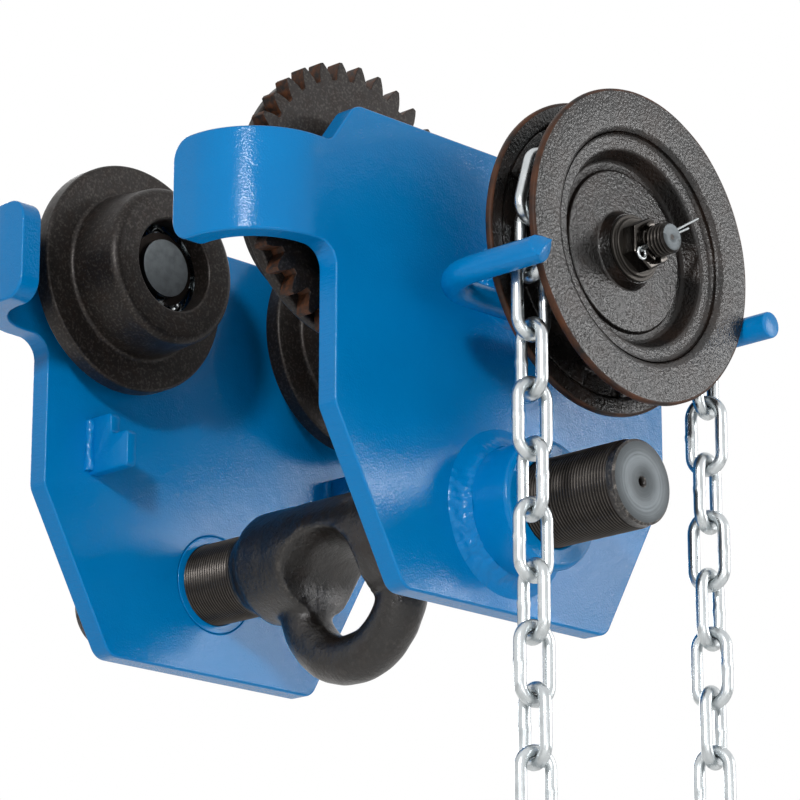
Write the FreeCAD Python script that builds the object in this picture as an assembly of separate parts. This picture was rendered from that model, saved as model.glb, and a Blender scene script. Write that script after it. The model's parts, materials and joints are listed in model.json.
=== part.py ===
import FreeCAD, Part
import math
import os

# Geared beam trolley. Millimetres and degrees.
# +X runs along the beam, the hand chain is on the -Y side and +Z is up.
# The origin lies on the running surface of the beam's lower flange, midway between the side plates.
# Heights named below are measured up from the load bar's axis.

# Side plates
plate_thickness = 10.0
plate_bottom_half_width = 59.6
plate_top_inset = 10.3
plate_bottom_depth = 41.1
plate_waist_height = 26.7
plate_crown_height = 18.5
plate_corner_radius = 8.0
plate_notch_radius = 5.5

# Guard horns, bent inwards at both ends of each side plate
horn_straight_length = 10.7
horn_shoulder_length = 2.9
horn_bottom_height = 91.5
horn_height = 42.9
horn_bend_radius = 25.0
horn_tip_gap = 92.0
horn_corner_radius = 9.0
horn_gear_clearance = 0.7

# Load bar with its forged eye
bar_diameter = 36.0
bar_length = 320.3
bar_offset = 3.75
bar_end_chamfer = 2.5
centre_hole_radius = 2.2
centre_hole_depth = 5.0
thread_pitch = 1.5
thread_depth = 0.7
eye_barrel_radius = 24.6
eye_barrel_length = 94.0
eye_shoulder_length = 9.0
eye_hole_radius = 19.75
eye_section_radius = 10.7
eye_drop = 16.75
eye_land_length = 8.0
eye_mouth_step = 1.0
eye_flare_radius = 48.0

# Round nuts welded into the side plates
nut_radius = 27.0
nut_spigot_radius = 21.5
nut_projection = 24.6
nut_edge_chamfer = 1.5
nut_weld_width = 8.0
nut_weld_height = 5.5
weld_bulge = 0.6

# Trolley wheels
axle_height = 120.5
tread_radius = 36.0
tread_taper = 2.0
tread_width = 25.0
tread_edge_radius = 4.0
flange_thickness = 5.0
flange_radius = 56.5
plain_flange_thickness = 9.0
plain_flange_radius = 50.0
wheel_flange_gap = 124.0
wheel_edge_round = 1.5
wheel_lip_hole_radius = 20.0

# Gearing between the hand wheel shaft and the two geared wheels
gear_module = 3.4
gear_teeth = 33
pinion_teeth = 9
pressure_angle = 25.0
profile_shift = 0.1
tooth_backlash = 0.3
root_clearance = 0.25
gear_face_width = 7.0
gear_plate_gap = 8.2
shaft_drop = 23.57

# Wheel bearings and axles
bearing_bore = 25.0
bearing_outside = 52.0
bearing_width = 15.0
bearing_shoulder = 3.0
ball_diameter = 7.9
ball_count = 9
ball_clearance = 0.05
axle_spigot_radius = 10.0
axle_spigot_length = 7.0
axle_collar_radius = 17.0
axle_tail_length = 3.8
circlip_thickness = 1.6
circlip_groove_depth = 1.0
circlip_height = 4.5
circlip_gap_angle = 30.0

# Hand wheel shaft, its housing and bushes
shaft_radius = 8.0
bush_wall = 2.0
bush_length = 14.0
bush_flange_radius = 12.0
bush_flange_thickness = 2.0
housing_wall = 3.5
housing_projection = 44.0
housing_weld_width = 5.0
stud_radius = 6.0
stud_proud = 7.5
stud_chamfer = 1.2
stud_relief = 1.0
key_width = 5.0
key_height = 5.0
key_length = 16.0

# Hand chain wheel
hub_step = 2.0
rim_rise = 12.2
rim_thickness = 3.2
rim_round = 1.2
chain_slot_play = 1.3
pocket_count = 7
pocket_width = 20.0
pocket_depth = 1.6
pocket_height = 9.0
web_wall = 1.4
web_ledge_width = 6.5
web_ledge_depth = 4.0
web_ring_width = 7.5
web_ring_depth = 7.0
web_ring_round = 2.5
web_wall_lean = 3.0
hub_face_depth = 10.0
hub_groove_depth = 1.5
hub_groove_lean = 0.8
hub_collar_flare = 2.4
hub_collar_lip = 0.5
hub_seat_depth = 5.5

# Hub fastening
washer_radius = 13.8
washer_thickness = 3.0
nut_across_flats = 19.0
castle_hex_height = 6.5
castle_crown_height = 3.5
castle_crown_radius = 8.6
castle_slot_play = 0.6
split_pin_radius = 1.2
split_pin_angle = 30.0
split_pin_long_leg = 31.5
split_pin_short_leg = 23.0
split_pin_eye_radius = 2.3

# Hand chain
chain_wire = 5.0
link_inner_width = 8.4
link_inner_length = 24.8
chain_slack = 0.8
chain_wrap_slack = 1.135
chain_wrap_radius = 52.6
chain_wrap_links = 7
chain_lead_angle = 4.2
chain_strand_links = 10
chain_running_gap = 0.35

# Chain guide rod
guide_rod_radius = 5.5
guide_wheel_gap = 0.7
guide_chain_gap = 0.9
guide_reach = 83.7
guide_standoff = 22.8
guide_bend_radius = 22.0
guide_weld_gap = 0.4
guide_weld_half_length = 9.0
guide_weld_width = 8.8

# Anti-tilt lugs under the beam's flange
lug_offset = 71.0
lug_thickness = 5.0
lug_gear_clearance = 0.74
lug_upper_height = 9.6
lug_lower_height = 15.7
lug_upper_reach = 13.4
lug_nose_length = 10.8
lug_corner_radius = 2.0
lug_weld_leg = 3.5

# Fits
running_clearance = 0.05
seat_clearance = 0.02
side_clearance = 0.4

# Places worked out from the sizes above
bar_z = tread_radius - axle_height
bar_radius = bar_diameter / 2
bar_half_length = bar_length / 2
eye_z = bar_z - eye_drop
eye_ring_radius = eye_hole_radius + math.sqrt(eye_section_radius ** 2 - (eye_land_length / 2) ** 2)

axle_z = tread_radius
gear_centre_distance = gear_module * (gear_teeth + pinion_teeth) / 2
gear_tip_radius = gear_module * (gear_teeth / 2 + 1 - profile_shift)
gear_root_radius = gear_module * (gear_teeth / 2 - 1 - root_clearance - profile_shift)
pinion_tip_radius = gear_module * (pinion_teeth / 2 + 1 + profile_shift)
pinion_root_radius = gear_module * (pinion_teeth / 2 - 1 - root_clearance + profile_shift)
axle_x = math.sqrt(gear_centre_distance ** 2 - shaft_drop ** 2)
shaft_z = axle_z - shaft_drop

flange_inner = wheel_flange_gap / 2
wheel_inner_end = flange_inner - tread_width
gear_inner = flange_inner + flange_thickness
gear_outer = gear_inner + gear_face_width
plate_inner = gear_outer + gear_plate_gap
plate_outer = plate_inner + plate_thickness
bearing_outer_end = flange_inner - side_clearance
bearing_inner_end = bearing_outer_end - bearing_width
ball_circle_radius = (bearing_bore + bearing_outside) / 4
axle_tail_end = bearing_inner_end - axle_tail_length
axle_end = plate_inner + axle_spigot_length

horn_bend_y = plate_inner - horn_bend_radius
horn_foot = (axle_x + gear_tip_radius + horn_gear_clearance
             - math.sqrt(horn_bend_radius ** 2 - (gear_outer - horn_bend_y) ** 2))
horn_top_height = horn_bottom_height + horn_height
plate_half_width = horn_foot - horn_straight_length
plate_top_half_width = plate_half_width - plate_top_inset
plate_top_height = horn_top_height + plate_crown_height
lug_top_z = axle_z - gear_tip_radius - lug_gear_clearance
lug_step_z = lug_top_z - lug_upper_height
lug_bottom_z = lug_step_z - lug_lower_height

bush_radius = shaft_radius + bush_wall
housing_radius = bush_radius + housing_wall
housing_end = plate_outer + housing_projection
hub_back = housing_end + bush_flange_thickness + side_clearance
pinion_outer = plate_inner - bush_flange_thickness - side_clearance
pinion_inner = gear_inner + side_clearance

link_half_width = link_inner_width / 2 + chain_wire
chain_pitch = link_inner_length - chain_slack
chain_wrap_chord = link_inner_length - chain_wrap_slack
chain_wrap_step = 2 * math.degrees(math.asin(chain_wrap_chord / 2 / chain_wrap_radius))
chain_slot_width = 2 * link_half_width + chain_slot_play

wheel_back = hub_back + hub_step
wheel_width = chain_slot_width + 2 * rim_thickness
wheel_front = wheel_back + wheel_width
chain_plane = (wheel_back + wheel_front) / 2
hub_seat = wheel_front - hub_seat_depth
hub_face = wheel_front - hub_face_depth
hub_groove_floor = hub_face - hub_groove_depth
castle_base = hub_seat + washer_thickness
castle_crown = castle_base + castle_hex_height
castle_slot_width = 2 * split_pin_radius + castle_slot_play
stud_end = castle_crown + castle_crown_height + stud_proud
pin_y = castle_crown + castle_crown_height / 2
pocket_floor_radius = (chain_wrap_radius * math.cos(math.radians(chain_wrap_step / 2))
                       - chain_wire / 2 - chain_running_gap)
chain_groove_radius = pocket_floor_radius + chain_wire / 2 - link_half_width
wheel_rim_radius = chain_wrap_radius + rim_rise
web_ledge_outer = pocket_floor_radius - web_wall
web_ring_outer = web_ledge_outer - web_ledge_width
web_ring_inner = web_ring_outer - web_ring_width
chain_groove_half_width = chain_wire / 2 + chain_running_gap

guide_base_y = plate_outer + guide_standoff
guide_drop = housing_radius + guide_rod_radius + guide_weld_gap
guide_z = shaft_z - guide_drop
guide_rim_span = math.sqrt((wheel_rim_radius + guide_wheel_gap + guide_rod_radius) ** 2 - guide_drop ** 2)
guide_chain_span = chain_wrap_radius + link_half_width + guide_chain_gap + guide_rod_radius
guide_half_span = max(guide_rim_span, guide_chain_span)

AXIS_X = FreeCAD.Vector(1, 0, 0)
AXIS_Y = FreeCAD.Vector(0, 1, 0)
AXIS_Z = FreeCAD.Vector(0, 0, 1)
ORIGIN = FreeCAD.Vector(0, 0, 0)


def vector(x, y, z):
    return FreeCAD.Vector(x, y, z)


def on_drive_side(shape):
    """Mirror a shape that was made on the +Y side over to the drive side."""
    return shape.mirror(ORIGIN, AXIS_Y)


def rod_y(radius, start, end, x=0.0, z=0.0):
    """Round rod along Y."""
    return Part.makeCylinder(radius, end - start, vector(x, start, z), AXIS_Y)


def ring_y(outer, inner, start, end, x=0.0, z=0.0):
    """Round tube along Y."""
    return rod_y(outer, start, end, x, z).cut(rod_y(inner, start, end, x, z))


def plate_hole(radius, x, z):
    """Cutter for a round hole through the side plate on the +Y side."""
    return rod_y(radius, plate_inner, plate_outer, x, z)


def rounded_face(corners, place):
    """Flat face from (u, v, radius) corners; place(u, v) puts a point in space."""
    edges = []
    ends = []
    count = len(corners)
    for index in range(count):
        u, v, radius = corners[index]
        before = corners[index - 1]
        after = corners[(index + 1) % count]
        if radius == 0:
            ends.append((place(u, v), place(u, v)))
            continue
        back_u, back_v = before[0] - u, before[1] - v
        on_u, on_v = after[0] - u, after[1] - v
        back = math.hypot(back_u, back_v)
        on = math.hypot(on_u, on_v)
        back_u, back_v, on_u, on_v = back_u / back, back_v / back, on_u / on, on_v / on
        half = math.acos(max(-1.0, min(1.0, back_u * on_u + back_v * on_v))) / 2
        reach = radius / math.tan(half)
        middle = radius / math.sin(half) - radius
        mid_u, mid_v = back_u + on_u, back_v + on_v
        mid = math.hypot(mid_u, mid_v)
        start = place(u + back_u * reach, v + back_v * reach)
        end = place(u + on_u * reach, v + on_v * reach)
        top = place(u + mid_u / mid * middle, v + mid_v / mid * middle)
        edges.append((index, Part.Arc(start, top, end).toShape()))
        ends.append((start, end))
    arcs = dict(edges)
    outline = []
    for index in range(count):
        if index in arcs:
            outline.append(arcs[index])
        start = ends[index][1]
        end = ends[(index + 1) % count][0]
        outline.append(Part.makeLine(start, end))
    return Part.Face(Part.Wire(outline))


def turned(corners, x=0.0, z=0.0):
    """Solid of revolution about a line along Y from (radius, y, corner radius) corners."""
    face = rounded_face(corners, lambda radius, y: vector(x + radius, y, z))
    solid = face.revolve(vector(x, 0, z), AXIS_Y, 360)
    return outward(solid)


def outward(shape):
    """Solid with its faces pointing out."""
    solid = shape if shape.ShapeType == "Solid" else shape.Solids[0]
    if solid.Volume < 0:
        solid.reverse()
    return solid


def gear_face(teeth, tip_radius, root_radius, shift, turn, x, z):
    """Toothed outline in the XZ plane, with arcs for flanks and one tooth pointing at turn degrees."""
    pitch_radius = gear_module * teeth / 2
    pressure = math.radians(pressure_angle)
    base_radius = pitch_radius * math.cos(pressure)
    thickness = gear_module * (math.pi / 2 + 2 * shift * math.tan(pressure)) - tooth_backlash / 2
    half_at_pitch = thickness / (2 * pitch_radius)
    involute_at_pitch = math.tan(pressure) - pressure
    flank_foot = max(base_radius, root_radius)

    def half_angle(radius):
        local = math.acos(min(1.0, base_radius / radius))
        return half_at_pitch + involute_at_pitch - (math.tan(local) - local)

    def point(radius, angle):
        return vector(x + radius * math.cos(angle), 0, z + radius * math.sin(angle))

    step = 2 * math.pi / teeth
    foot = half_angle(flank_foot)
    middle_radius = (flank_foot + tip_radius) / 2
    outline = []
    for tooth in range(teeth):
        centre = math.radians(turn) + tooth * step
        left_root = point(root_radius, centre - foot)
        left_foot = point(flank_foot, centre - foot)
        left_middle = point(middle_radius, centre - half_angle(middle_radius))
        left_tip = point(tip_radius, centre - half_angle(tip_radius))
        right_tip = point(tip_radius, centre + half_angle(tip_radius))
        right_middle = point(middle_radius, centre + half_angle(middle_radius))
        right_foot = point(flank_foot, centre + foot)
        right_root = point(root_radius, centre + foot)
        next_root = point(root_radius, centre + step - foot)
        if flank_foot > root_radius:
            outline.append(Part.makeLine(left_root, left_foot))
        outline.append(Part.Arc(left_foot, left_middle, left_tip).toShape())
        outline.append(Part.Arc(left_tip, point(tip_radius, centre), right_tip).toShape())
        outline.append(Part.Arc(right_tip, right_middle, right_foot).toShape())
        if flank_foot > root_radius:
            outline.append(Part.makeLine(right_foot, right_root))
        outline.append(Part.Arc(right_root, point(root_radius, centre + step / 2), next_root).toShape())
    return Part.Face(Part.Wire(outline))


def toothed_disc(face, start, end):
    """Gear blank along Y from a toothed outline."""
    moved = face.copy()
    moved.translate(vector(0, start, 0))
    return outward(moved.extrude(vector(0, end - start, 0)))


def side_plate():
    """Flat side plate with a horn bent inwards at each end, made on the +Y side."""
    shoulder = plate_half_width + horn_shoulder_length
    inner_corner = min(horn_corner_radius, horn_straight_length - seat_clearance)
    right = [
        (plate_bottom_half_width, -plate_bottom_depth, plate_corner_radius),
        (plate_half_width, plate_waist_height, plate_corner_radius),
        (plate_half_width, horn_bottom_height, inner_corner),
        (horn_foot, horn_bottom_height, 0),
        (horn_foot, horn_top_height, 0),
        (shoulder, horn_top_height, plate_notch_radius),
        (plate_top_half_width, plate_top_height, plate_corner_radius),
    ]
    left = [(-u, v, radius) for u, v, radius in reversed(right)]
    face = rounded_face(right + left, lambda u, v: vector(u, plate_inner, bar_z + v))
    plate = face.extrude(vector(0, plate_thickness, 0))
    for direction in (-1, 1):
        plate = plate.fuse(horn(direction))
    plate = plate.removeSplitter()
    for hole_x in (-axle_x, axle_x):
        plate = plate.cut(rod_y(axle_spigot_radius + seat_clearance, plate_inner, axle_end, hole_x, axle_z))
    plate = plate.cut(plate_hole(nut_spigot_radius + running_clearance, 0, bar_z))
    return outward(plate)


def horn(direction):
    """One horn, bent a quarter turn towards the middle of the trolley."""
    outer = horn_bend_radius + plate_thickness
    slant = math.sqrt(0.5)
    tip = horn_tip_gap / 2

    def spot(x, y):
        return vector(direction * (horn_foot + x), y, bar_z + horn_bottom_height)

    outline = [
        Part.makeLine(spot(0, plate_inner), spot(0, plate_outer)),
        Part.Arc(spot(0, plate_outer), spot(outer * slant, horn_bend_y + outer * slant),
                 spot(outer, horn_bend_y)).toShape(),
        Part.makeLine(spot(outer, horn_bend_y), spot(outer, tip)),
        Part.makeLine(spot(outer, tip), spot(horn_bend_radius, tip)),
        Part.makeLine(spot(horn_bend_radius, tip), spot(horn_bend_radius, horn_bend_y)),
        Part.Arc(spot(horn_bend_radius, horn_bend_y),
                 spot(horn_bend_radius * slant, horn_bend_y + horn_bend_radius * slant),
                 spot(0, plate_inner)).toShape(),
    ]
    solid = Part.Face(Part.Wire(outline)).extrude(vector(0, 0, horn_height))
    corners = []
    for edge in solid.Edges:
        box = edge.BoundBox
        if box.XLength > plate_thickness / 2 and box.YMax < tip + seat_clearance:
            corners.append(edge)
    return solid.makeFillet(horn_corner_radius, corners)


def bar_arm():
    """One half of the load bar on the +Y side: half the eye's barrel and an arm with ring-cut thread."""
    shoulder_start = eye_barrel_length / 2
    shoulder_end = shoulder_start + eye_shoulder_length
    crest = bar_radius
    root = bar_radius - thread_depth
    turns = int((bar_half_length - bar_end_chamfer - shoulder_end) / thread_pitch)
    first_turn = bar_half_length - bar_end_chamfer - turns * thread_pitch
    profile = [(0, bar_half_length), (crest - bar_end_chamfer, bar_half_length)]
    for turn in range(turns):
        y = first_turn + (turns - turn) * thread_pitch
        profile.append((crest, y))
        profile.append((root, y - thread_pitch / 2))
    profile.append((crest, first_turn))
    profile.append((crest, shoulder_end))
    profile.append((eye_barrel_radius, shoulder_start))
    profile.append((eye_barrel_radius, 0))
    points = [vector(radius, y, bar_z) for radius, y in profile]
    points.append(vector(0, 0, bar_z))
    half = Part.Face(Part.makePolygon(points + [points[0]]))
    half = outward(half.revolve(vector(0, 0, bar_z), AXIS_Y, 360))
    centre_hole = Part.makeCone(0, centre_hole_radius, centre_hole_depth,
                                vector(0, bar_half_length - centre_hole_depth, bar_z), AXIS_Y)
    return half.cut(centre_hole)


def load_bar():
    """Forged bar with a threaded arm either side and an eye in the middle, screwed towards the drive side."""
    arm = bar_arm()
    body = arm.fuse(on_drive_side(arm))
    bow = round_bend(eye_ring_radius, eye_section_radius, vector(0, 0, eye_z), AXIS_Y, AXIS_X, -180)
    legs = []
    for direction in (-1, 1):
        legs.append(Part.makeCylinder(eye_section_radius, eye_drop,
                                      vector(0, direction * eye_ring_radius, eye_z), AXIS_Z))
    body = body.multiFuse([bow] + legs).removeSplitter()
    body = outward(body.cut(eye_hole()))
    body.translate(vector(0, -bar_offset, 0))
    return body


def eye_hole():
    """Through hole of the eye with a short round land and flared mouths."""
    land = eye_land_length / 2 + eye_mouth_step
    depth = eye_barrel_radius + eye_section_radius
    mouth_angle = math.asin((depth - land) / eye_flare_radius)
    rise = eye_flare_radius * (1 - math.cos(mouth_angle))
    middle_rise = eye_flare_radius * (1 - math.cos(mouth_angle / 2))
    middle_x = land + eye_flare_radius * math.sin(mouth_angle / 2)

    def spot(x, radius):
        return vector(x, 0, eye_z + radius)

    outline = [
        Part.makeLine(spot(-land, eye_hole_radius), spot(land, eye_hole_radius)),
        Part.Arc(spot(land, eye_hole_radius), spot(middle_x, eye_hole_radius + middle_rise),
                 spot(depth, eye_hole_radius + rise)).toShape(),
        Part.makeLine(spot(depth, eye_hole_radius + rise), spot(depth, 0)),
        Part.makeLine(spot(depth, 0), spot(-depth, 0)),
        Part.makeLine(spot(-depth, 0), spot(-depth, eye_hole_radius + rise)),
        Part.Arc(spot(-depth, eye_hole_radius + rise), spot(-middle_x, eye_hole_radius + middle_rise),
                 spot(-land, eye_hole_radius)).toShape(),
    ]
    face = Part.Face(Part.Wire(outline))
    return outward(face.revolve(vector(0, 0, eye_z), AXIS_X, 360))


def round_nut():
    """Threaded round nut on the plate's outer face, with a spigot through the plate."""
    end = plate_outer + nut_projection
    shoulder = plate_outer + running_clearance
    bore = bar_radius + running_clearance
    corners = [
        (bore, plate_inner, 0),
        (nut_spigot_radius, plate_inner, 0),
        (nut_spigot_radius, shoulder, 0),
        (nut_radius, shoulder, 0),
        (nut_radius, end - nut_edge_chamfer, 0),
        (nut_radius - nut_edge_chamfer, end, 0),
        (bore + nut_edge_chamfer, end, 0),
        (bore, end - nut_edge_chamfer, 0),
    ]
    return turned(corners, 0, bar_z)


def weld_ring(inner, width, height, z):
    """Fillet weld round a tube on the plate's outer face."""
    outline = [
        Part.makeLine(vector(inner, plate_outer, z), vector(inner + width, plate_outer, z)),
        Part.Arc(vector(inner + width, plate_outer, z),
                 vector(inner + width * weld_bulge, plate_outer + height * weld_bulge, z),
                 vector(inner, plate_outer + height, z)).toShape(),
        Part.makeLine(vector(inner, plate_outer + height, z), vector(inner, plate_outer, z)),
    ]
    face = Part.Face(Part.Wire(outline))
    return outward(face.revolve(vector(0, 0, z), AXIS_Y, 360))


def trolley_wheel(x, rim_radius, rim_thickness_y, back_face):
    """Flanged wheel with a tapered tread and a bearing seat, bored from the plate side."""
    seat = bearing_outside / 2 + seat_clearance
    flange_outer = flange_inner + rim_thickness_y
    blank = turned([
        (wheel_lip_hole_radius, wheel_inner_end, wheel_edge_round),
        (tread_radius - tread_taper, wheel_inner_end, tread_edge_radius),
        (tread_radius, flange_inner, wheel_edge_round),
        (rim_radius, flange_inner, wheel_edge_round),
        (rim_radius, flange_outer, wheel_edge_round),
        (tread_radius, flange_outer, 0),
        (tread_radius, back_face, wheel_edge_round),
        (wheel_lip_hole_radius, back_face, 0),
    ], x, axle_z)
    groove_start = bearing_outer_end
    groove = rod_y(seat + circlip_groove_depth, groove_start, groove_start + circlip_thickness, x, axle_z)
    return blank.cut(rod_y(seat, bearing_inner_end, back_face, x, axle_z)).cut(groove)


def geared_wheel(x, tooth_angle):
    """Wheel with a toothed ring between its flange and the side plate."""
    wheel = trolley_wheel(x, flange_radius, flange_thickness, gear_outer)
    face = gear_face(gear_teeth, gear_tip_radius, gear_root_radius, -profile_shift, tooth_angle, x, axle_z)
    teeth = toothed_disc(face, gear_inner, gear_outer)
    teeth = teeth.cut(rod_y(tread_radius - wheel_edge_round, gear_inner, gear_outer, x, axle_z))
    return outward(wheel.fuse(teeth).removeSplitter())


def plain_wheel(x):
    return outward(trolley_wheel(x, plain_flange_radius, plain_flange_thickness, gear_outer))


def raceway(centre_radius, x):
    """Ring-shaped track in which the balls run."""
    track = ball_diameter / 2 + ball_clearance
    middle = (bearing_inner_end + bearing_outer_end) / 2
    return Part.makeTorus(centre_radius, track, vector(x, middle, axle_z), AXIS_Y)


def bearing_outer_ring(x):
    outer = bearing_outside / 2
    ring = ring_y(outer, outer - bearing_shoulder, bearing_inner_end, bearing_outer_end, x, axle_z)
    return outward(ring.cut(raceway(ball_circle_radius, x)))


def bearing_inner_ring(x):
    inner = bearing_bore / 2 + seat_clearance
    ring = ring_y(bearing_bore / 2 + bearing_shoulder, inner, bearing_inner_end, bearing_outer_end, x, axle_z)
    return outward(ring.cut(raceway(ball_circle_radius, x)))


def bearing_balls(x):
    middle = (bearing_inner_end + bearing_outer_end) / 2
    balls = []
    for index in range(ball_count):
        angle = 2 * math.pi * index / ball_count
        spot = vector(x + ball_circle_radius * math.cos(angle), middle,
                      axle_z + ball_circle_radius * math.sin(angle))
        balls.append(Part.makeSphere(ball_diameter / 2, spot))
    return Part.makeCompound(balls)


def split_ring(outer, inner, start, x):
    """Circlip: a ring with a gap at the bottom."""
    ring = ring_y(outer, inner, start, start + circlip_thickness, x, axle_z)
    half = math.radians(circlip_gap_angle / 2)
    reach = 2 * outer
    wedge = Part.makePolygon([
        vector(x, start, axle_z),
        vector(x - reach * math.sin(half), start, axle_z - reach * math.cos(half)),
        vector(x + reach * math.sin(half), start, axle_z - reach * math.cos(half)),
        vector(x, start, axle_z),
    ])
    return outward(ring.cut(Part.Face(wedge).extrude(vector(0, circlip_thickness, 0))))


def wheel_circlip(x):
    """Inner circlip that holds the bearing in the wheel."""
    outer = bearing_outside / 2 + circlip_groove_depth - seat_clearance
    return split_ring(outer, outer - circlip_height, bearing_outer_end, x)


def axle_circlip(x):
    """Outer circlip that holds the bearing on the axle."""
    inner = bearing_bore / 2 - circlip_groove_depth + seat_clearance
    return split_ring(inner + circlip_height, inner, bearing_inner_end - circlip_thickness, x)


def axle(x):
    """Axle with a spigot set into the plate's inner face, a collar and a bearing seat."""
    seat = bearing_bore / 2
    groove = seat - circlip_groove_depth
    tail = bearing_inner_end - circlip_thickness
    return turned([
        (0, axle_end, 0),
        (axle_spigot_radius, axle_end, 0),
        (axle_spigot_radius, plate_inner, 0),
        (axle_collar_radius, plate_inner, 0),
        (axle_collar_radius, bearing_outer_end, 0),
        (seat, bearing_outer_end, 0),
        (seat, bearing_inner_end, 0),
        (groove, bearing_inner_end, 0),
        (groove, tail, 0),
        (seat, tail, 0),
        (seat, axle_tail_end, 0),
        (0, axle_tail_end, 0),
    ], x, axle_z)


def anti_tilt_lug(direction):
    """Stepped flat lug welded on the plate's inner face, below the beam's flange."""
    centre = direction * lug_offset
    upper_end = plate_inner - lug_upper_reach
    nose_end = upper_end - lug_nose_length
    face = rounded_face([
        (plate_inner, lug_bottom_z, 0),
        (nose_end, lug_bottom_z, lug_corner_radius),
        (nose_end, lug_step_z, lug_corner_radius),
        (upper_end, lug_step_z, lug_corner_radius),
        (upper_end, lug_top_z, lug_corner_radius),
        (plate_inner, lug_top_z, 0),
    ], lambda y, z: vector(centre - lug_thickness / 2, y, z))
    lug = face.extrude(vector(lug_thickness, 0, 0))
    for edge_side in (-1, 1):
        foot = centre + edge_side * lug_thickness / 2
        corners = [
            vector(foot, plate_inner, lug_bottom_z),
            vector(foot + edge_side * lug_weld_leg, plate_inner, lug_bottom_z),
            vector(foot, plate_inner - lug_weld_leg, lug_bottom_z),
        ]
        bead = Part.Face(Part.makePolygon(corners + [corners[0]]))
        lug = lug.fuse(bead.extrude(vector(0, 0, lug_top_z - lug_bottom_z)))
    return outward(lug.removeSplitter())


def shaft_housing():
    """Tube through the drive side plate that carries the hand wheel shaft."""
    return outward(ring_y(housing_radius, bush_radius + seat_clearance, plate_inner, housing_end, 0, shaft_z))


def flanged_bush(face, inward):
    """Plain bearing with a thrust flange; inward points from the flange into the housing."""
    bore = shaft_radius + running_clearance
    corners = [
        (bore, face - inward * bush_flange_thickness, 0),
        (bush_flange_radius, face - inward * bush_flange_thickness, 0),
        (bush_flange_radius, face, 0),
        (bush_radius, face, 0),
        (bush_radius, face + inward * bush_length, 0),
        (bore, face + inward * bush_length, 0),
    ]
    return turned(corners, 0, shaft_z)


def hand_wheel_shaft(tooth_angle):
    """Shaft with its pinion cut from the solid, a keyway and a threaded stud end."""
    body = turned([
        (0, pinion_inner, 0),
        (shaft_radius, pinion_inner, 0),
        (shaft_radius, hub_seat - stud_relief, 0),
        (stud_radius, hub_seat - stud_relief, 0),
        (stud_radius, stud_end - stud_chamfer, 0),
        (stud_radius - stud_chamfer, stud_end, 0),
        (0, stud_end, 0),
    ], 0, shaft_z)
    face = gear_face(pinion_teeth, pinion_tip_radius, pinion_root_radius, profile_shift,
                     tooth_angle, 0, shaft_z)
    body = body.fuse(toothed_disc(face, pinion_inner, pinion_outer)).removeSplitter()
    body = body.cut(key_block(seat_clearance))
    return outward(body.cut(pin_hole()))


def key_block(clearance):
    """Key between the shaft and the hand wheel's hub, or its slot with a clearance."""
    start = (hub_back + hub_seat - key_length) / 2
    corner = vector(-key_width / 2 - clearance, start - clearance,
                    shaft_z + shaft_radius - key_height / 2 - clearance)
    return Part.makeBox(key_width + 2 * clearance, key_length + 2 * clearance,
                        key_height + 2 * clearance, corner)


def pin_hole():
    """Cross hole for the split pin."""
    angle = math.radians(split_pin_angle)
    direction = vector(math.cos(angle), 0, math.sin(angle))
    start = vector(-2 * stud_radius * math.cos(angle), pin_y, shaft_z - 2 * stud_radius * math.sin(angle))
    return Part.makeCylinder(split_pin_radius + running_clearance, 4 * stud_radius, start, direction)


def hand_chain_wheel():
    """Cast chain wheel: two flanges, a chain groove between them and a keyed hub set back in a dish."""
    bore = shaft_radius + seat_clearance
    slot_back = wheel_back + rim_thickness
    slot_front = wheel_front - rim_thickness
    groove_back = chain_plane - chain_groove_half_width
    groove_front = chain_plane + chain_groove_half_width
    blank = turned([
        (bore, hub_back, 0),
        (web_ring_inner, hub_back, rim_round),
        (web_ring_inner, wheel_back + web_ring_depth, web_ring_round),
        (web_ring_outer, wheel_back + web_ring_depth, rim_round),
        (web_ring_outer, wheel_back + web_ledge_depth, rim_round),
        (web_ledge_outer, wheel_back + web_ledge_depth, rim_round),
        (web_ledge_outer, wheel_back, web_ring_round),
        (wheel_rim_radius, wheel_back, rim_round),
        (wheel_rim_radius, slot_back, rim_round),
        (pocket_floor_radius, slot_back, 0),
        (pocket_floor_radius, groove_back, 0),
        (chain_groove_radius, groove_back, 0),
        (chain_groove_radius, groove_front, 0),
        (pocket_floor_radius, groove_front, 0),
        (pocket_floor_radius, slot_front, 0),
        (wheel_rim_radius, slot_front, rim_round),
        (wheel_rim_radius, wheel_front, rim_round),
        (web_ledge_outer, wheel_front, web_ring_round),
        (web_ledge_outer, wheel_front - web_ledge_depth, rim_round),
        (web_ring_outer, wheel_front - web_ledge_depth, rim_round),
        (web_ring_outer - web_wall_lean, hub_groove_floor, rim_round),
        (web_ring_inner + hub_groove_lean, hub_groove_floor, hub_groove_lean),
        (web_ring_inner, hub_face, hub_groove_lean),
        (washer_radius + hub_collar_flare, hub_face, rim_round),
        (washer_radius + hub_collar_lip, hub_seat, 0),
        (bore, hub_seat, 0),
    ], 0, shaft_z)
    for index in range(pocket_count):
        cutter = Part.makeBox(pocket_width, chain_slot_width + 2 * pocket_depth, pocket_height,
                              vector(-pocket_width / 2, slot_back - pocket_depth,
                                     shaft_z + pocket_floor_radius))
        cutter.rotate(vector(0, 0, shaft_z), AXIS_Y, 360 * index / pocket_count)
        blank = blank.cut(cutter)
    return outward(blank.cut(key_block(seat_clearance)))


def hub_washer():
    return outward(ring_y(washer_radius, stud_radius + running_clearance, hub_seat, castle_base, 0, shaft_z))


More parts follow.
